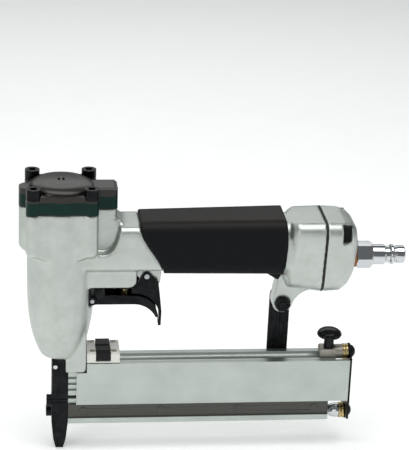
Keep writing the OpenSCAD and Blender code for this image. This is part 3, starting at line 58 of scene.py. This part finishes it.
# ---------------------------------------------------------------------------
# Camera: a long lens from a little in front and above, as product pictures are
# taken, tilted by two degrees so that the magazine runs up to the right.
picture_centre = Vector((0.08223, 0, 0.1401))
camera_distance = 1.065
azimuth, elevation, tilt = radians(-7.05), radians(21.5), radians(2.33)
focal_px = 1852
picture_height_px = 450
back = Vector((sin(azimuth) * cos(elevation), -cos(azimuth) * cos(elevation), sin(elevation)))
camera_data = bpy.data.cameras.new("picture_camera")
camera_data.sensor_width = 36
camera_data.lens = camera_data.sensor_width * focal_px / picture_height_px
camera = bpy.data.objects.new("picture_camera", camera_data)
camera.location = picture_centre + back * camera_distance
camera.rotation_mode = "QUATERNION"
camera.rotation_quaternion = back.to_track_quat("Z", "Y") @ Quaternion((0, 0, 1), tilt)
bpy.context.scene.collection.objects.link(camera)
bpy.context.scene.camera = camera


# ---------------------------------------------------------------------------
# Floor and light: a seamless pale light table under wide soft boxes. The nose stands
# on it, and the glow from below keeps the shadows thin.
def linear(colour, alpha=1.0):
    """An sRGB hex colour as linear red, green, blue and alpha."""
    parts = [int(colour[i:i + 2], 16) / 255 for i in (1, 3, 5)]
    return (*[c / 12.92 if c <= 0.04045 else ((c + 0.055) / 1.055) ** 2.4 for c in parts], alpha)


def add(material, kind, settings=(), links=()):
    """Adds one node to a material. Settings are (input or property, value) and
    links are (input, output of another node)."""
    node = material.node_tree.nodes.new(kind)
    for name, value in settings:
        if hasattr(node, str(name)):
            setattr(node, name, value)
        else:
            node.inputs[name].default_value = value
    for name, output in links:
        material.node_tree.links.new(output, node.inputs[name])
    return node


def start(name, colour, roughness, metallic=0.0):
    """A new material with its shader: returns both."""
    material = bpy.data.materials.new(name)
    material.use_nodes = True
    shader = material.node_tree.nodes["Principled BSDF"]
    shader.inputs["Base Color"].default_value = linear(colour)
    shader.inputs["Roughness"].default_value = roughness
    shader.inputs["Metallic"].default_value = metallic
    material.diffuse_color = linear(colour)
    return material, shader


def join(material, output, socket):
    material.node_tree.links.new(output, socket)


# matt painted board: no pattern that the eye could follow, only the faintest mottle
floor_size = 8
floor_centre = (0.08, 0, -0.0002)
floor_glow = 0.3
board_mottle_mm = 33.3
light_aim = Vector((0.08, 0, 0.09))
room_light = 0.2
board, board_shader = start("painted_board", "#FAFBFB", 0.9)
board_place = add(board, "ShaderNodeTexCoord")
board_mottle = add(board, "ShaderNodeTexNoise",
                   [("Scale", 1000 / board_mottle_mm), ("Detail", 2.0)],
                   [("Vector", board_place.outputs["Object"])])
board_tone = add(board, "ShaderNodeValToRGB", links=[("Fac", board_mottle.outputs["Fac"])])
board_tone.color_ramp.elements[0].color = linear("#F8F9F9")
board_tone.color_ramp.elements[1].color = linear("#FCFCFC")
join(board, board_tone.outputs["Color"], board_shader.inputs["Base Color"])
join(board, board_tone.outputs["Color"], board_shader.inputs["Emission Color"])
board_shader.inputs["Emission Strength"].default_value = floor_glow

bpy.ops.object.select_all(action="DESELECT")
bpy.ops.mesh.primitive_plane_add(size=floor_size, location=floor_centre)
floor = bpy.context.object
floor.name = "pale_floor"
bpy.ops.object.transform_apply(location=True)
floor.data.materials.append(board)

for name, place, size, power, tint in [
        ("soft_box_above", (0.05, -0.1, 0.95), (1.0, 0.6), 6.5, "#FFFFFF"),
        ("soft_box_front", (0.05, -1.25, 0.35), (0.5, 0.4), 1.0, "#F8FCFF"),
        ("soft_box_left", (-0.85, -0.75, 0.5), (0.4, 0.7), 2.6, "#FFFDF8"),
        ("soft_box_right", (0.95, -0.55, 0.4), (0.3, 0.7), 0.9, "#F2F8FF"),
        ("soft_box_behind", (0.1, 0.9, 0.7), (1.2, 0.4), 2.0, "#FFFFFF")]:
    light_data = bpy.data.lights.new(name, "AREA")
    light_data.shape = "RECTANGLE"
    light_data.size, light_data.size_y = size
    light_data.energy = power
    light_data.color = linear(tint)[:3]
    light = bpy.data.objects.new(name, light_data)
    light.location = place
    light.rotation_euler = (Vector(place) - light_aim).to_track_quat("Z", "Y").to_euler()
    bpy.context.scene.collection.objects.link(light)
world = bpy.data.worlds.new("pale_room")
world.use_nodes = True
world.node_tree.nodes["Background"].inputs["Color"].default_value = linear("#F2F5F7")
world.node_tree.nodes["Background"].inputs["Strength"].default_value = room_light
bpy.context.scene.world = world
bpy.context.scene.view_settings.view_transform = "Standard"


# ---------------------------------------------------------------------------
# Main casting: barrel, head, neck, handle core and rear bulge are one die casting
# in aluminium, tumbled smooth after the flash is trimmed. Its edges are all soft.
cast_grain_mm = 0.35
cast_mottle_mm = 9.0
same_point = 0.00001


def cast_aluminium():
    """Die-cast aluminium, tumbled: a satin skin whose highlights spread, a little
    uneven in tone, with fine grain left by the stones."""
    material, shader = start("tumbled_cast_aluminium", "#BABFB9", 0.34, 0.85)
    place = add(material, "ShaderNodeTexCoord")
    mottle = add(material, "ShaderNodeTexNoise",
                 [("Scale", 1000 / cast_mottle_mm), ("Detail", 4.0), ("Roughness", 0.6)],
                 [("Vector", place.outputs["Object"])])
    tone = add(material, "ShaderNodeValToRGB", links=[("Fac", mottle.outputs["Fac"])])
    tone.color_ramp.elements[0].position = 0.25
    tone.color_ramp.elements[0].color = linear("#AFB5AF")
    tone.color_ramp.elements[1].position = 0.75
    tone.color_ramp.elements[1].color = linear("#C5CAC5")
    grain = add(material, "ShaderNodeTexNoise",
                [("Scale", 1000 / cast_grain_mm), ("Detail", 2.0), ("Roughness", 0.5)],
                [("Vector", place.outputs["Object"])])
    rough = add(material, "ShaderNodeMapRange",
                [("From Min", 0.3), ("From Max", 0.7), ("To Min", 0.34), ("To Max", 0.46)],
                [("Value", mottle.outputs["Fac"])])
    bump = add(material, "ShaderNodeBump", [("Strength", 0.12), ("Distance", 0.00006)],
               [("Height", grain.outputs["Fac"])])
    join(material, tone.outputs["Color"], shader.inputs["Base Color"])
    join(material, rough.outputs["Result"], shader.inputs["Roughness"])
    join(material, bump.outputs["Normal"], shader.inputs["Normal"])
    return material


def soften(node_name, piece_name, cell_mm, passes):
    """A copy of a CAD node with its surface drawn anew in small cells and relaxed,
    so that edges and inner corners get the small radii of a casting or moulding."""
    bpy.ops.object.select_all(action="DESELECT")
    source = frame["nodes"][node_name]
    source.select_set(True)
    bpy.context.view_layer.objects.active = source
    bpy.ops.object.duplicate()
    piece = bpy.context.object
    piece.name = piece_name
    piece.data.name = piece_name
    bpy.ops.object.parent_clear(type="CLEAR_KEEP_TRANSFORM")
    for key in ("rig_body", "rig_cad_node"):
        if key in piece:
            del piece[key]
    bpy.ops.object.mode_set(mode="EDIT")
    bpy.ops.mesh.select_all(action="SELECT")
    bpy.ops.mesh.remove_doubles(threshold=same_point)
    bpy.ops.object.mode_set(mode="OBJECT")
    cells = piece.modifiers.new("cells", "REMESH")
    cells.mode = "VOXEL"
    cells.voxel_size = cell_mm / 1000
    relax = piece.modifiers.new("relax", "SMOOTH")
    relax.factor = 0.5
    relax.iterations = passes
    for modifier in ("cells", "relax"):
        bpy.ops.object.modifier_apply(modifier=modifier)
    bpy.ops.object.shade_smooth()
    piece.data.materials.clear()
    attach(piece, source["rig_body"])
    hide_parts(node_name)
    return piece


casting_finish = cast_aluminium()
casting = soften("main_housing", "cast_body", 0.85, 4)
casting.data.materials.append(casting_finish)

# ---------------------------------------------------------------------------
# Head: a gasket, an enamelled aluminium ring, and a cast cap in graphite enamel.
# Four socket screws with split washers clamp them to the casting.
weld_distance = 0.000005
enamel_cloud_mm = 6.25
# real flake and mould pebble are too fine to show: both are drawn coarser
flake_mm = 0.385
rubber_pebble_mm = 0.556
rubbed_patch_mm = 4.55


def dress(names, material, edge_mm=0.25, corner=40):
    """Gives CAD nodes their finish, and the small broken edge that a made piece has."""
    for name in names:
        node = frame["nodes"][name]
        node.data.materials.clear()
        node.data.materials.append(material)
        node.data.polygons.foreach_set("use_smooth", [True] * len(node.data.polygons))
        weld = node.modifiers.new("weld", "WELD")
        weld.merge_threshold = weld_distance
        edge = node.modifiers.new("edge", "BEVEL")
        edge.width = edge_mm / 1000
        edge.segments = 2
        edge.limit_method = "ANGLE"
        edge.angle_limit = radians(corner)
        edge.harden_normals = True
        even = node.modifiers.new("even", "WEIGHTED_NORMAL")
        even.keep_sharp = True


def green_enamel():
    """Very dark green baked enamel over aluminium: a glassy coat with a soft reflection."""
    material, shader = start("dark_green_enamel", "#02211C", 0.3)
    shader.inputs["Specular IOR Level"].default_value = 0.12
    shader.inputs["Coat Weight"].default_value = 0.06
    shader.inputs["Coat Roughness"].default_value = 0.12
    place = add(material, "ShaderNodeTexCoord")
    cloud = add(material, "ShaderNodeTexNoise",
                [("Scale", 1000 / enamel_cloud_mm), ("Detail", 3.0)],
                [("Vector", place.outputs["Object"])])
    tone = add(material, "ShaderNodeValToRGB", links=[("Fac", cloud.outputs["Fac"])])
    tone.color_ramp.elements[0].color = linear("#021D18")
    tone.color_ramp.elements[1].color = linear("#05332B")
    peel = add(material, "ShaderNodeBump", [("Strength", 0.05), ("Distance", 0.0001)],
               [("Height", cloud.outputs["Fac"])])
    join(material, tone.outputs["Color"], shader.inputs["Base Color"])
    join(material, peel.outputs["Normal"], shader.inputs["Normal"])
    return material


def graphite_enamel():
    """Graphite enamel on a cast cap: metallic flake in a dark warm ground, semi-gloss."""
    material, shader = start("graphite_enamel", "#1E1C19", 0.32, 0.4)
    shader.inputs["Coat Weight"].default_value = 0.15
    shader.inputs["Coat Roughness"].default_value = 0.2
    place = add(material, "ShaderNodeTexCoord")
    flake = add(material, "ShaderNodeTexNoise", [("Scale", 1000 / flake_mm), ("Detail", 2.0)],
                [("Vector", place.outputs["Object"])])
    tone = add(material, "ShaderNodeValToRGB", links=[("Fac", flake.outputs["Fac"])])
    tone.color_ramp.elements[0].position = 0.35
    tone.color_ramp.elements[0].color = linear("#141210")
    tone.color_ramp.elements[1].position = 0.75
    tone.color_ramp.elements[1].color = linear("#2B2721")
    join(material, tone.outputs["Color"], shader.inputs["Base Color"])
    return material


def black_oxide():
    """Blackened steel, oiled: almost black, with a soft sheen and paler rubbed patches."""
    material, shader = start("black_oxide_steel", "#1B1C1E", 0.36, 0.85)
    place = add(material, "ShaderNodeTexCoord")
    rub = add(material, "ShaderNodeTexNoise",
              [("Scale", 1000 / rubbed_patch_mm), ("Detail", 5.0), ("Roughness", 0.65)],
              [("Vector", place.outputs["Object"])])
    tone = add(material, "ShaderNodeValToRGB", links=[("Fac", rub.outputs["Fac"])])
    tone.color_ramp.elements[0].position = 0.4
    tone.color_ramp.elements[0].color = linear("#101113")
    tone.color_ramp.elements[1].position = 0.85
    tone.color_ramp.elements[1].color = linear("#2C2D2E")
    rough = add(material, "ShaderNodeMapRange",
                [("From Min", 0.3), ("From Max", 0.7), ("To Min", 0.28), ("To Max", 0.45)],
                [("Value", rub.outputs["Fac"])])
    join(material, tone.outputs["Color"], shader.inputs["Base Color"])
    join(material, rough.outputs["Result"], shader.inputs["Roughness"])
    return material


def black_rubber(name, hex_dark, hex_light, roughness):
    """Black rubber sheet or moulding: matt, with a fine pebble from the mould."""
    material, shader = start(name, hex_dark, roughness)
    place = add(material, "ShaderNodeTexCoord")
    pebble = add(material, "ShaderNodeTexNoise",
                 [("Scale", 1000 / rubber_pebble_mm), ("Detail", 2.0)],
                 [("Vector", place.outputs["Object"])])
    tone = add(material, "ShaderNodeValToRGB", links=[("Fac", pebble.outputs["Fac"])])
    tone.color_ramp.elements[0].color = linear(hex_dark)
    tone.color_ramp.elements[1].color = linear(hex_light)
    bump = add(material, "ShaderNodeBump", [("Strength", 0.25), ("Distance", 0.00008)],
               [("Height", pebble.outputs["Fac"])])
    join(material, tone.outputs["Color"], shader.inputs["Base Color"])
    join(material, bump.outputs["Normal"], shader.inputs["Normal"])
    return material


oxide = black_oxide()
gasket_rubber = black_rubber("gasket_rubber", "#131415", "#242526", 0.75)
dress(["head_gasket"], gasket_rubber, 0.1)
dress(["head_ring"], green_enamel(), 0.3)
dress(["cap_cover"], graphite_enamel(), 0.35)
dress(["cap_screws"], oxide, 0.3)
dress(["spring_washers"], oxide, 0.12)

# ---------------------------------------------------------------------------
# Drive, hidden inside: ground cylinder sleeve, piston with its blade and O-ring,
# rubber bumper, acetal head valve and its steel spring.
wheel_mark_mm, wheel_mark_length_mm = 0.2, 2.5
turned_grain_mm = 0.524


def wave_scale(pitch_mm):
    """The scale of a sine wave texture whose bands lie this far apart: it has two
    bands in each 2 pi / (10 x scale)."""
    return 2 * pi / (20 * pitch_mm / 1000)


def ground_steel():
    """Ground steel: bright, with fine parallel marks of the wheel, 0.2 mm apart."""
    material, shader = start("ground_steel", "#9B9FA2", 0.24, 1.0)
    place = add(material, "ShaderNodeTexCoord")
    across, along = 1000 / wheel_mark_mm, 1000 / wheel_mark_length_mm
    stretch = add(material, "ShaderNodeMapping", [("Scale", (across, along, along))],
                  [("Vector", place.outputs["Object"])])
    marks = add(material, "ShaderNodeTexNoise", [("Scale", 1.0), ("Detail", 3.0)],
                [("Vector", stretch.outputs["Vector"])])
    rough = add(material, "ShaderNodeMapRange", [("To Min", 0.18), ("To Max", 0.36)],
                [("Value", marks.outputs["Fac"])])
    tone = add(material, "ShaderNodeValToRGB", links=[("Fac", marks.outputs["Fac"])])
    tone.color_ramp.elements[0].color = linear("#8B9093")
    tone.color_ramp.elements[1].color = linear("#B4B8BA")
    join(material, rough.outputs["Result"], shader.inputs["Roughness"])
    join(material, tone.outputs["Color"], shader.inputs["Base Color"])
    return material


def white_acetal():
    """Machined acetal: waxy off-white plastic with a faint turned grain."""
    material, shader = start("white_acetal", "#E2DECF", 0.38)
    shader.inputs["Subsurface Weight"].default_value = 0.1
    shader.inputs["Subsurface Scale"].default_value = 0.001
    place = add(material, "ShaderNodeTexCoord")
    turning = add(material, "ShaderNodeTexWave",
                  [("bands_direction", "Z"), ("Scale", wave_scale(turned_grain_mm))],
                  [("Vector", place.outputs["Object"])])
    bump = add(material, "ShaderNodeBump", [("Strength", 0.08), ("Distance", 0.00005)],
               [("Height", turning.outputs["Fac"])])
    join(material, bump.outputs["Normal"], shader.inputs["Normal"])
    return material


steel = ground_steel()
dress(["cylinder_sleeve", "piston_driver"], steel, 0.15)
dress(["bumper", "piston_ring"], gasket_rubber, 0.15)
dress(["head_valve"], white_acetal(), 0.15)
for name in ("head_valve_spring", "valve_spring", "latch_spring", "pusher_spring"):
    spring = frame["nodes"][name]
    spring.data.materials.clear()
    spring.data.materials.append(steel)
    spring.data.polygons.foreach_set("use_smooth", [True] * len(spring.data.polygons))
    joined = spring.modifiers.new("weld", "WELD")
    joined.merge_threshold = weld_distance
    rounded = spring.modifiers.new("rounded", "SUBSURF")
    rounded.levels = rounded.render_levels = 1

# ---------------------------------------------------------------------------
# Nose: two hardened steel plates, blackened, with the driver channel between them.
# Two socket screws hold the front plate, and a bright dowel lines it up.
# real lathe rings are finer: they are drawn as coarse as they need to show
lathe_ring_mm = 0.628


def bright_nickel():
    """Nickel plate on turned steel: mirror-like, with faint rings left by the lathe."""
    material, shader = start("bright_nickel", "#C9CCCE", 0.1, 1.0)
    place = add(material, "ShaderNodeTexCoord")
    rings = add(material, "ShaderNodeTexWave",
                [("bands_direction", "X"), ("Scale", wave_scale(lathe_ring_mm)),
                 ("Distortion", 0.6), ("Detail", 2.0)],
                [("Vector", place.outputs["Object"])])
    rough = add(material, "ShaderNodeMapRange", [("To Min", 0.06), ("To Max", 0.14)],
                [("Value", rings.outputs["Fac"])])
    join(material, rough.outputs["Result"], shader.inputs["Roughness"])
    return material


nickel = bright_nickel()
dress(["nose_front_plate", "nose_rear_plate"], oxide, 0.2)
dress(["nose_screws"], oxide, 0.25)
dress(["nose_dowel"], nickel, 0.15)

# ---------------------------------------------------------------------------
# Grip: a black rubber sleeve pulled over the casting, moulded with fine ribs
# that run round the hand, matt below and polished by use along the top, where a browner colour is
# painted on as a sheen (painted highlight).
rib_pitch_mm = 1.4
grip_pebble_mm = 0.455
# heights over which the top gets its real smoother polish and its painted sheen colour
polish_and_sheen_from_z, polish_and_sheen_to_z = 0.138, 0.1485


def ribbed_rubber():
    """Moulded nitrile rubber: near black, with faint ribs 1.4 mm apart across the
    handle, dull below and smoother where the palm rubs the top, with a painted brown sheen (a
    lighter colour) along the top."""
    material, shader = start("ribbed_rubber", "#121618", 0.55)
    shader.inputs["Specular IOR Level"].default_value = 0.12
    place = add(material, "ShaderNodeTexCoord")
    ribs = add(material, "ShaderNodeTexWave",
               [("wave_type", "BANDS"), ("bands_direction", "X"), ("wave_profile", "SIN"),
                ("Scale", wave_scale(rib_pitch_mm)), ("Distortion", 0.0)],
               [("Vector", place.outputs["Object"])])
    pebble = add(material, "ShaderNodeTexNoise",
                 [("Scale", 1000 / grip_pebble_mm), ("Detail", 2.0)],
                 [("Vector", place.outputs["Object"])])
    height = add(material, "ShaderNodeMath", [("operation", "MULTIPLY_ADD"), (1, 0.2)],
                 [(0, pebble.outputs["Fac"]), (2, ribs.outputs["Fac"])])
    bump = add(material, "ShaderNodeBump", [("Strength", 0.3), ("Distance", 0.00015)],
               [("Height", height.outputs["Value"])])
    position = add(material, "ShaderNodeSeparateXYZ", links=[("Vector", place.outputs["Object"])])
    # height mask: it makes the top smoother, and it places the painted sheen
    polish_and_sheen = add(material, "ShaderNodeMapRange",
                 [("From Min", polish_and_sheen_from_z), ("From Max", polish_and_sheen_to_z),
                  ("interpolation_type", "SMOOTHSTEP")],
                 [("Value", position.outputs["Z"])])
    # painted highlight: the colour turns browner and lighter towards the top of the grip,
    # standing in for the light caught along the top
    tone = add(material, "ShaderNodeValToRGB", links=[("Fac", polish_and_sheen.outputs["Result"])])
    tone.color_ramp.elements[0].color = linear("#0B0F11")
    tone.color_ramp.elements[1].color = linear("#1B1816")
    rough = add(material, "ShaderNodeMapRange", [("To Min", 0.6), ("To Max", 0.42)],
                [("Value", polish_and_sheen.outputs["Result"])])
    join(material, tone.outputs["Color"], shader.inputs["Base Color"])
    join(material, rough.outputs["Result"], shader.inputs["Roughness"])
    join(material, bump.outputs["Normal"], shader.inputs["Normal"])
    return material


grip = soften("grip_sleeve", "ribbed_grip", 0.8, 6)
grip.data.materials.append(ribbed_rubber())

# ---------------------------------------------------------------------------
# Rear end: a second casting, tumbled like the first, closes the handle behind a
# gasket. Exhaust air leaves by two slots over black sintered mufflers.
sinter_grain_mm = 0.4


def sintered_plastic():
    """Black sintered plastic: coarse open grains of about 0.4 mm that swallow light."""
    material, shader = start("sintered_plastic", "#101112", 0.85)
    place = add(material, "ShaderNodeTexCoord")
    grains = add(material, "ShaderNodeTexVoronoi", [("Scale", 1000 / sinter_grain_mm)],
                 [("Vector", place.outputs["Object"])])
    bump = add(material, "ShaderNodeBump", [("Strength", 0.7), ("Distance", 0.0002)],
               [("Height", grains.outputs["Distance"])])
    join(material, bump.outputs["Normal"], shader.inputs["Normal"])
    return material


rear = soften("rear_cap", "rear_casting", 0.7, 4)
rear.data.materials.append(casting_finish)
dress(["rear_gasket"], gasket_rubber, 0.1)
dress(["rear_cap_screws"], oxide, 0.25)
dress(["exhaust_mufflers"], sintered_plastic(), 0.1)

# ---------------------------------------------------------------------------
# Air plug: turned steel, nickel plated, with a hexagon for the spanner and the
# groove that a coupling's balls lock into, screwed in on a copper washer.
tarnish_mm = 1.43


def soft_copper():
    """Annealed copper: dull brown-red, lightly marked by the hexagon above it."""
    material, shader = start("annealed_copper", "#8A5A3C", 0.42, 1.0)
    place = add(material, "ShaderNodeTexCoord")
    tarnish = add(material, "ShaderNodeTexNoise",
                  [("Scale", 1000 / tarnish_mm), ("Detail", 4.0)],
                  [("Vector", place.outputs["Object"])])
    tone = add(material, "ShaderNodeValToRGB", links=[("Fac", tarnish.outputs["Fac"])])
    tone.color_ramp.elements[0].color = linear("#6E452E")
    tone.color_ramp.elements[1].color = linear("#A8714C")
    join(material, tone.outputs["Color"], shader.inputs["Base Color"])
    return material


dress(["air_plug"], nickel, 0.2)
dress(["plug_washer"], soft_copper(), 0.2)

# ---------------------------------------------------------------------------
# Trigger group: pressed steel lever on a pin in a pressed bracket, blackened, with
# a turned brass valve above it and the safety lever behind its curved tail.
brass_tone_mm = 1.11
flow_mark_mm = 8.33


def turned_brass():
    """Turned brass, pale and unlacquered: bright on the lands, duller in the cuts."""
    material, shader = start("turned_brass", "#C4AE74", 0.28, 1.0)
    place = add(material, "ShaderNodeTexCoord")
    rings = add(material, "ShaderNodeTexNoise",
                [("Scale", 1000 / brass_tone_mm), ("Detail", 3.0)],
                [("Vector", place.outputs["Object"])])
    tone = add(material, "ShaderNodeValToRGB", links=[("Fac", rings.outputs["Fac"])])
    tone.color_ramp.elements[0].color = linear("#A48D55")
    tone.color_ramp.elements[1].color = linear("#DCCB9C")
    rough = add(material, "ShaderNodeMapRange", [("To Min", 0.2), ("To Max", 0.38)],
                [("Value", rings.outputs["Fac"])])
    join(material, tone.outputs["Color"], shader.inputs["Base Color"])
    join(material, rough.outputs["Result"], shader.inputs["Roughness"])
    return material


def black_acetal(name, roughness):
    """Black acetal, moulded: satin to glossy, with slight flow marks."""
    material, shader = start(name, "#0B0C0D", roughness)
    shader.inputs["Specular IOR Level"].default_value = 0.2
    place = add(material, "ShaderNodeTexCoord")
    flow = add(material, "ShaderNodeTexNoise",
               [("Scale", 1000 / flow_mark_mm), ("Detail", 3.0), ("Distortion", 1.5)],
               [("Vector", place.outputs["Object"])])
    rough = add(material, "ShaderNodeMapRange",
                [("To Min", roughness - 0.08), ("To Max", roughness + 0.1)],
                [("Value", flow.outputs["Fac"])])
    tone = add(material, "ShaderNodeValToRGB", links=[("Fac", flow.outputs["Fac"])])
    tone.color_ramp.elements[0].color = linear("#060708")
    tone.color_ramp.elements[1].color = linear("#101112")
    join(material, rough.outputs["Result"], shader.inputs["Roughness"])
    join(material, tone.outputs["Color"], shader.inputs["Base Color"])
    return material


brass = turned_brass()
satin_acetal = black_acetal("satin_black_acetal", 0.42)
dress(["trigger_bracket", "trigger_lever", "safety_lever"], oxide, 0.15)
dress(["trigger_pin", "safety_pin"], steel, 0.15)
dress(["valve_guide"], satin_acetal, 0.2)
dress(["valve_bushing", "valve_stem"], brass, 0.12)

# ---------------------------------------------------------------------------
# Magazine: an aluminium extrusion, anodised silver, with a trough along the top and
# slots in its side that the sliding cover runs in. A steel strip is riveted along it.
die_line_mm, die_line_length_mm = 0.455, 83.3
anodised_cloud_mm = 22.2
scratch_mm, scratch_length_mm = 0.333, 40


def anodised_aluminium():
    """Silver-anodised extrusion: pale and silky, with faint die lines along its length
    a few tenths of a millimetre apart and a slight cloudiness."""
    material, shader = start("anodised_aluminium", "#B7BFB9", 0.34, 0.85)
    place = add(material, "ShaderNodeTexCoord")
    along, across = 1000 / die_line_length_mm, 1000 / die_line_mm
    stretch = add(material, "ShaderNodeMapping", [("Scale", (along, across, across))],
                  [("Vector", place.outputs["Object"])])
    lines = add(material, "ShaderNodeTexNoise",
                [("Scale", 1.0), ("Detail", 4.0), ("Roughness", 0.6)],
                [("Vector", stretch.outputs["Vector"])])
    cloud = add(material, "ShaderNodeTexNoise",
                [("Scale", 1000 / anodised_cloud_mm), ("Detail", 3.0)],
                [("Vector", place.outputs["Object"])])
    mixed = add(material, "ShaderNodeMath", [("operation", "MULTIPLY_ADD"), (1, 0.5)],
                [(0, lines.outputs["Fac"]), (2, cloud.outputs["Fac"])])
    tone = add(material, "ShaderNodeValToRGB", links=[("Fac", mixed.outputs["Value"])])
    tone.color_ramp.elements[0].position = 0.5
    tone.color_ramp.elements[0].color = linear("#ACB4AE")
    tone.color_ramp.elements[1].position = 1.0
    tone.color_ramp.elements[1].color = linear("#BCC4BE")
    rough = add(material, "ShaderNodeMapRange", [("To Min", 0.3), ("To Max", 0.4)],
                [("Value", lines.outputs["Fac"])])
    bump = add(material, "ShaderNodeBump", [("Strength", 0.06), ("Distance", 0.00005)],
               [("Height", lines.outputs["Fac"])])
    join(material, tone.outputs["Color"], shader.inputs["Base Color"])
    join(material, rough.outputs["Result"], shader.inputs["Roughness"])
    join(material, bump.outputs["Normal"], shader.inputs["Normal"])
    return material


def dark_strip_steel():
    """Blued spring-steel strip, ground along its length: dark warm grey with long scratches."""
    material, shader = start("blued_strip_steel", "#4A4A46", 0.33, 0.9)
    place = add(material, "ShaderNodeTexCoord")
    along, across = 1000 / scratch_length_mm, 1000 / scratch_mm
    stretch = add(material, "ShaderNodeMapping", [("Scale", (along, across, across))],
                  [("Vector", place.outputs["Object"])])
    scratches = add(material, "ShaderNodeTexNoise", [("Scale", 1.0), ("Detail", 5.0)],
                    [("Vector", stretch.outputs["Vector"])])
    tone = add(material, "ShaderNodeValToRGB", links=[("Fac", scratches.outputs["Fac"])])
    tone.color_ramp.elements[0].color = linear("#3A3B3B")
    tone.color_ramp.elements[1].color = linear("#5E5D57")
    rough = add(material, "ShaderNodeMapRange", [("To Min", 0.25), ("To Max", 0.45)],
                [("Value", scratches.outputs["Fac"])])
    join(material, tone.outputs["Color"], shader.inputs["Base Color"])
    join(material, rough.outputs["Result"], shader.inputs["Roughness"])
    return material


anodised = anodised_aluminium()
dress(["magazine_rail", "magazine_cover"], anodised, 0.2)
dress(["pin_track_strip", "strip_rivets"], dark_strip_steel(), 0.15)
dress(["pusher", "spring_rod"], steel, 0.08)

# ---------------------------------------------------------------------------
# Strap: a flat steel bar that ties the magazine's rear to the lug under the handle,
# blackened, with a socket bolt and nut above and two button screws below.
dress(["strap_bracket", "strap_bolt", "strap_nut", "strap_screws"], oxide, 0.25)

# ---------------------------------------------------------------------------
# Clear block: a moulded block on the rail, screwed down with four small brass
# screws, that carries the black catch on a steel pin.
haze_mm = 2.86


def clear_acrylic():
    """Acrylic, pale and mostly milky: a little light passes through it."""
    material, shader = start("clear_acrylic", "#FAFAF2", 0.16)
    shader.inputs["Transmission Weight"].default_value = 0.2
    shader.inputs["IOR"].default_value = 1.49
    place = add(material, "ShaderNodeTexCoord")
    haze = add(material, "ShaderNodeTexNoise", [("Scale", 1000 / haze_mm), ("Detail", 3.0)],
               [("Vector", place.outputs["Object"])])
    rough = add(material, "ShaderNodeMapRange", [("To Min", 0.1), ("To Max", 0.3)],
                [("Value", haze.outputs["Fac"])])
    join(material, rough.outputs["Result"], shader.inputs["Roughness"])
    return material


dress(["clear_block"], clear_acrylic(), 0.3)
dress(["clear_block_screws"], brass, 0.1)
dress(["catch"], satin_acetal, 0.25)
dress(["catch_pin"], steel, 0.1)

# ---------------------------------------------------------------------------
# End of the magazine: a thin blackened end plate with two button screws and brass
# bushes carries the latch, a grey die-cast block with a black pull knob.
zinc_mottle_mm = 3.85


def grey_zinc():
    """Zinc die casting, tumbled and left bare: warm grey and slightly dull."""
    material, shader = start("tumbled_zinc", "#A39F95", 0.45, 0.7)
    place = add(material, "ShaderNodeTexCoord")
    mottle = add(material, "ShaderNodeTexNoise",
                 [("Scale", 1000 / zinc_mottle_mm), ("Detail", 4.0)],
                 [("Vector", place.outputs["Object"])])
    tone = add(material, "ShaderNodeValToRGB", links=[("Fac", mottle.outputs["Fac"])])
    tone.color_ramp.elements[0].color = linear("#8F8B82")
    tone.color_ramp.elements[1].color = linear("#B6B2A8")
    join(material, tone.outputs["Color"], shader.inputs["Base Color"])
    return material


dress(["end_plate", "end_screws"], oxide, 0.15)
dress(["brass_bushes"], brass, 0.15)
dress(["lower_locator"], nickel, 0.15)
dress(["latch_body"], grey_zinc(), 0.25)
dress(["latch_pin"], steel, 0.15)
dress(["latch_knob"], black_acetal("glossy_black_acetal", 0.22), 0.3)
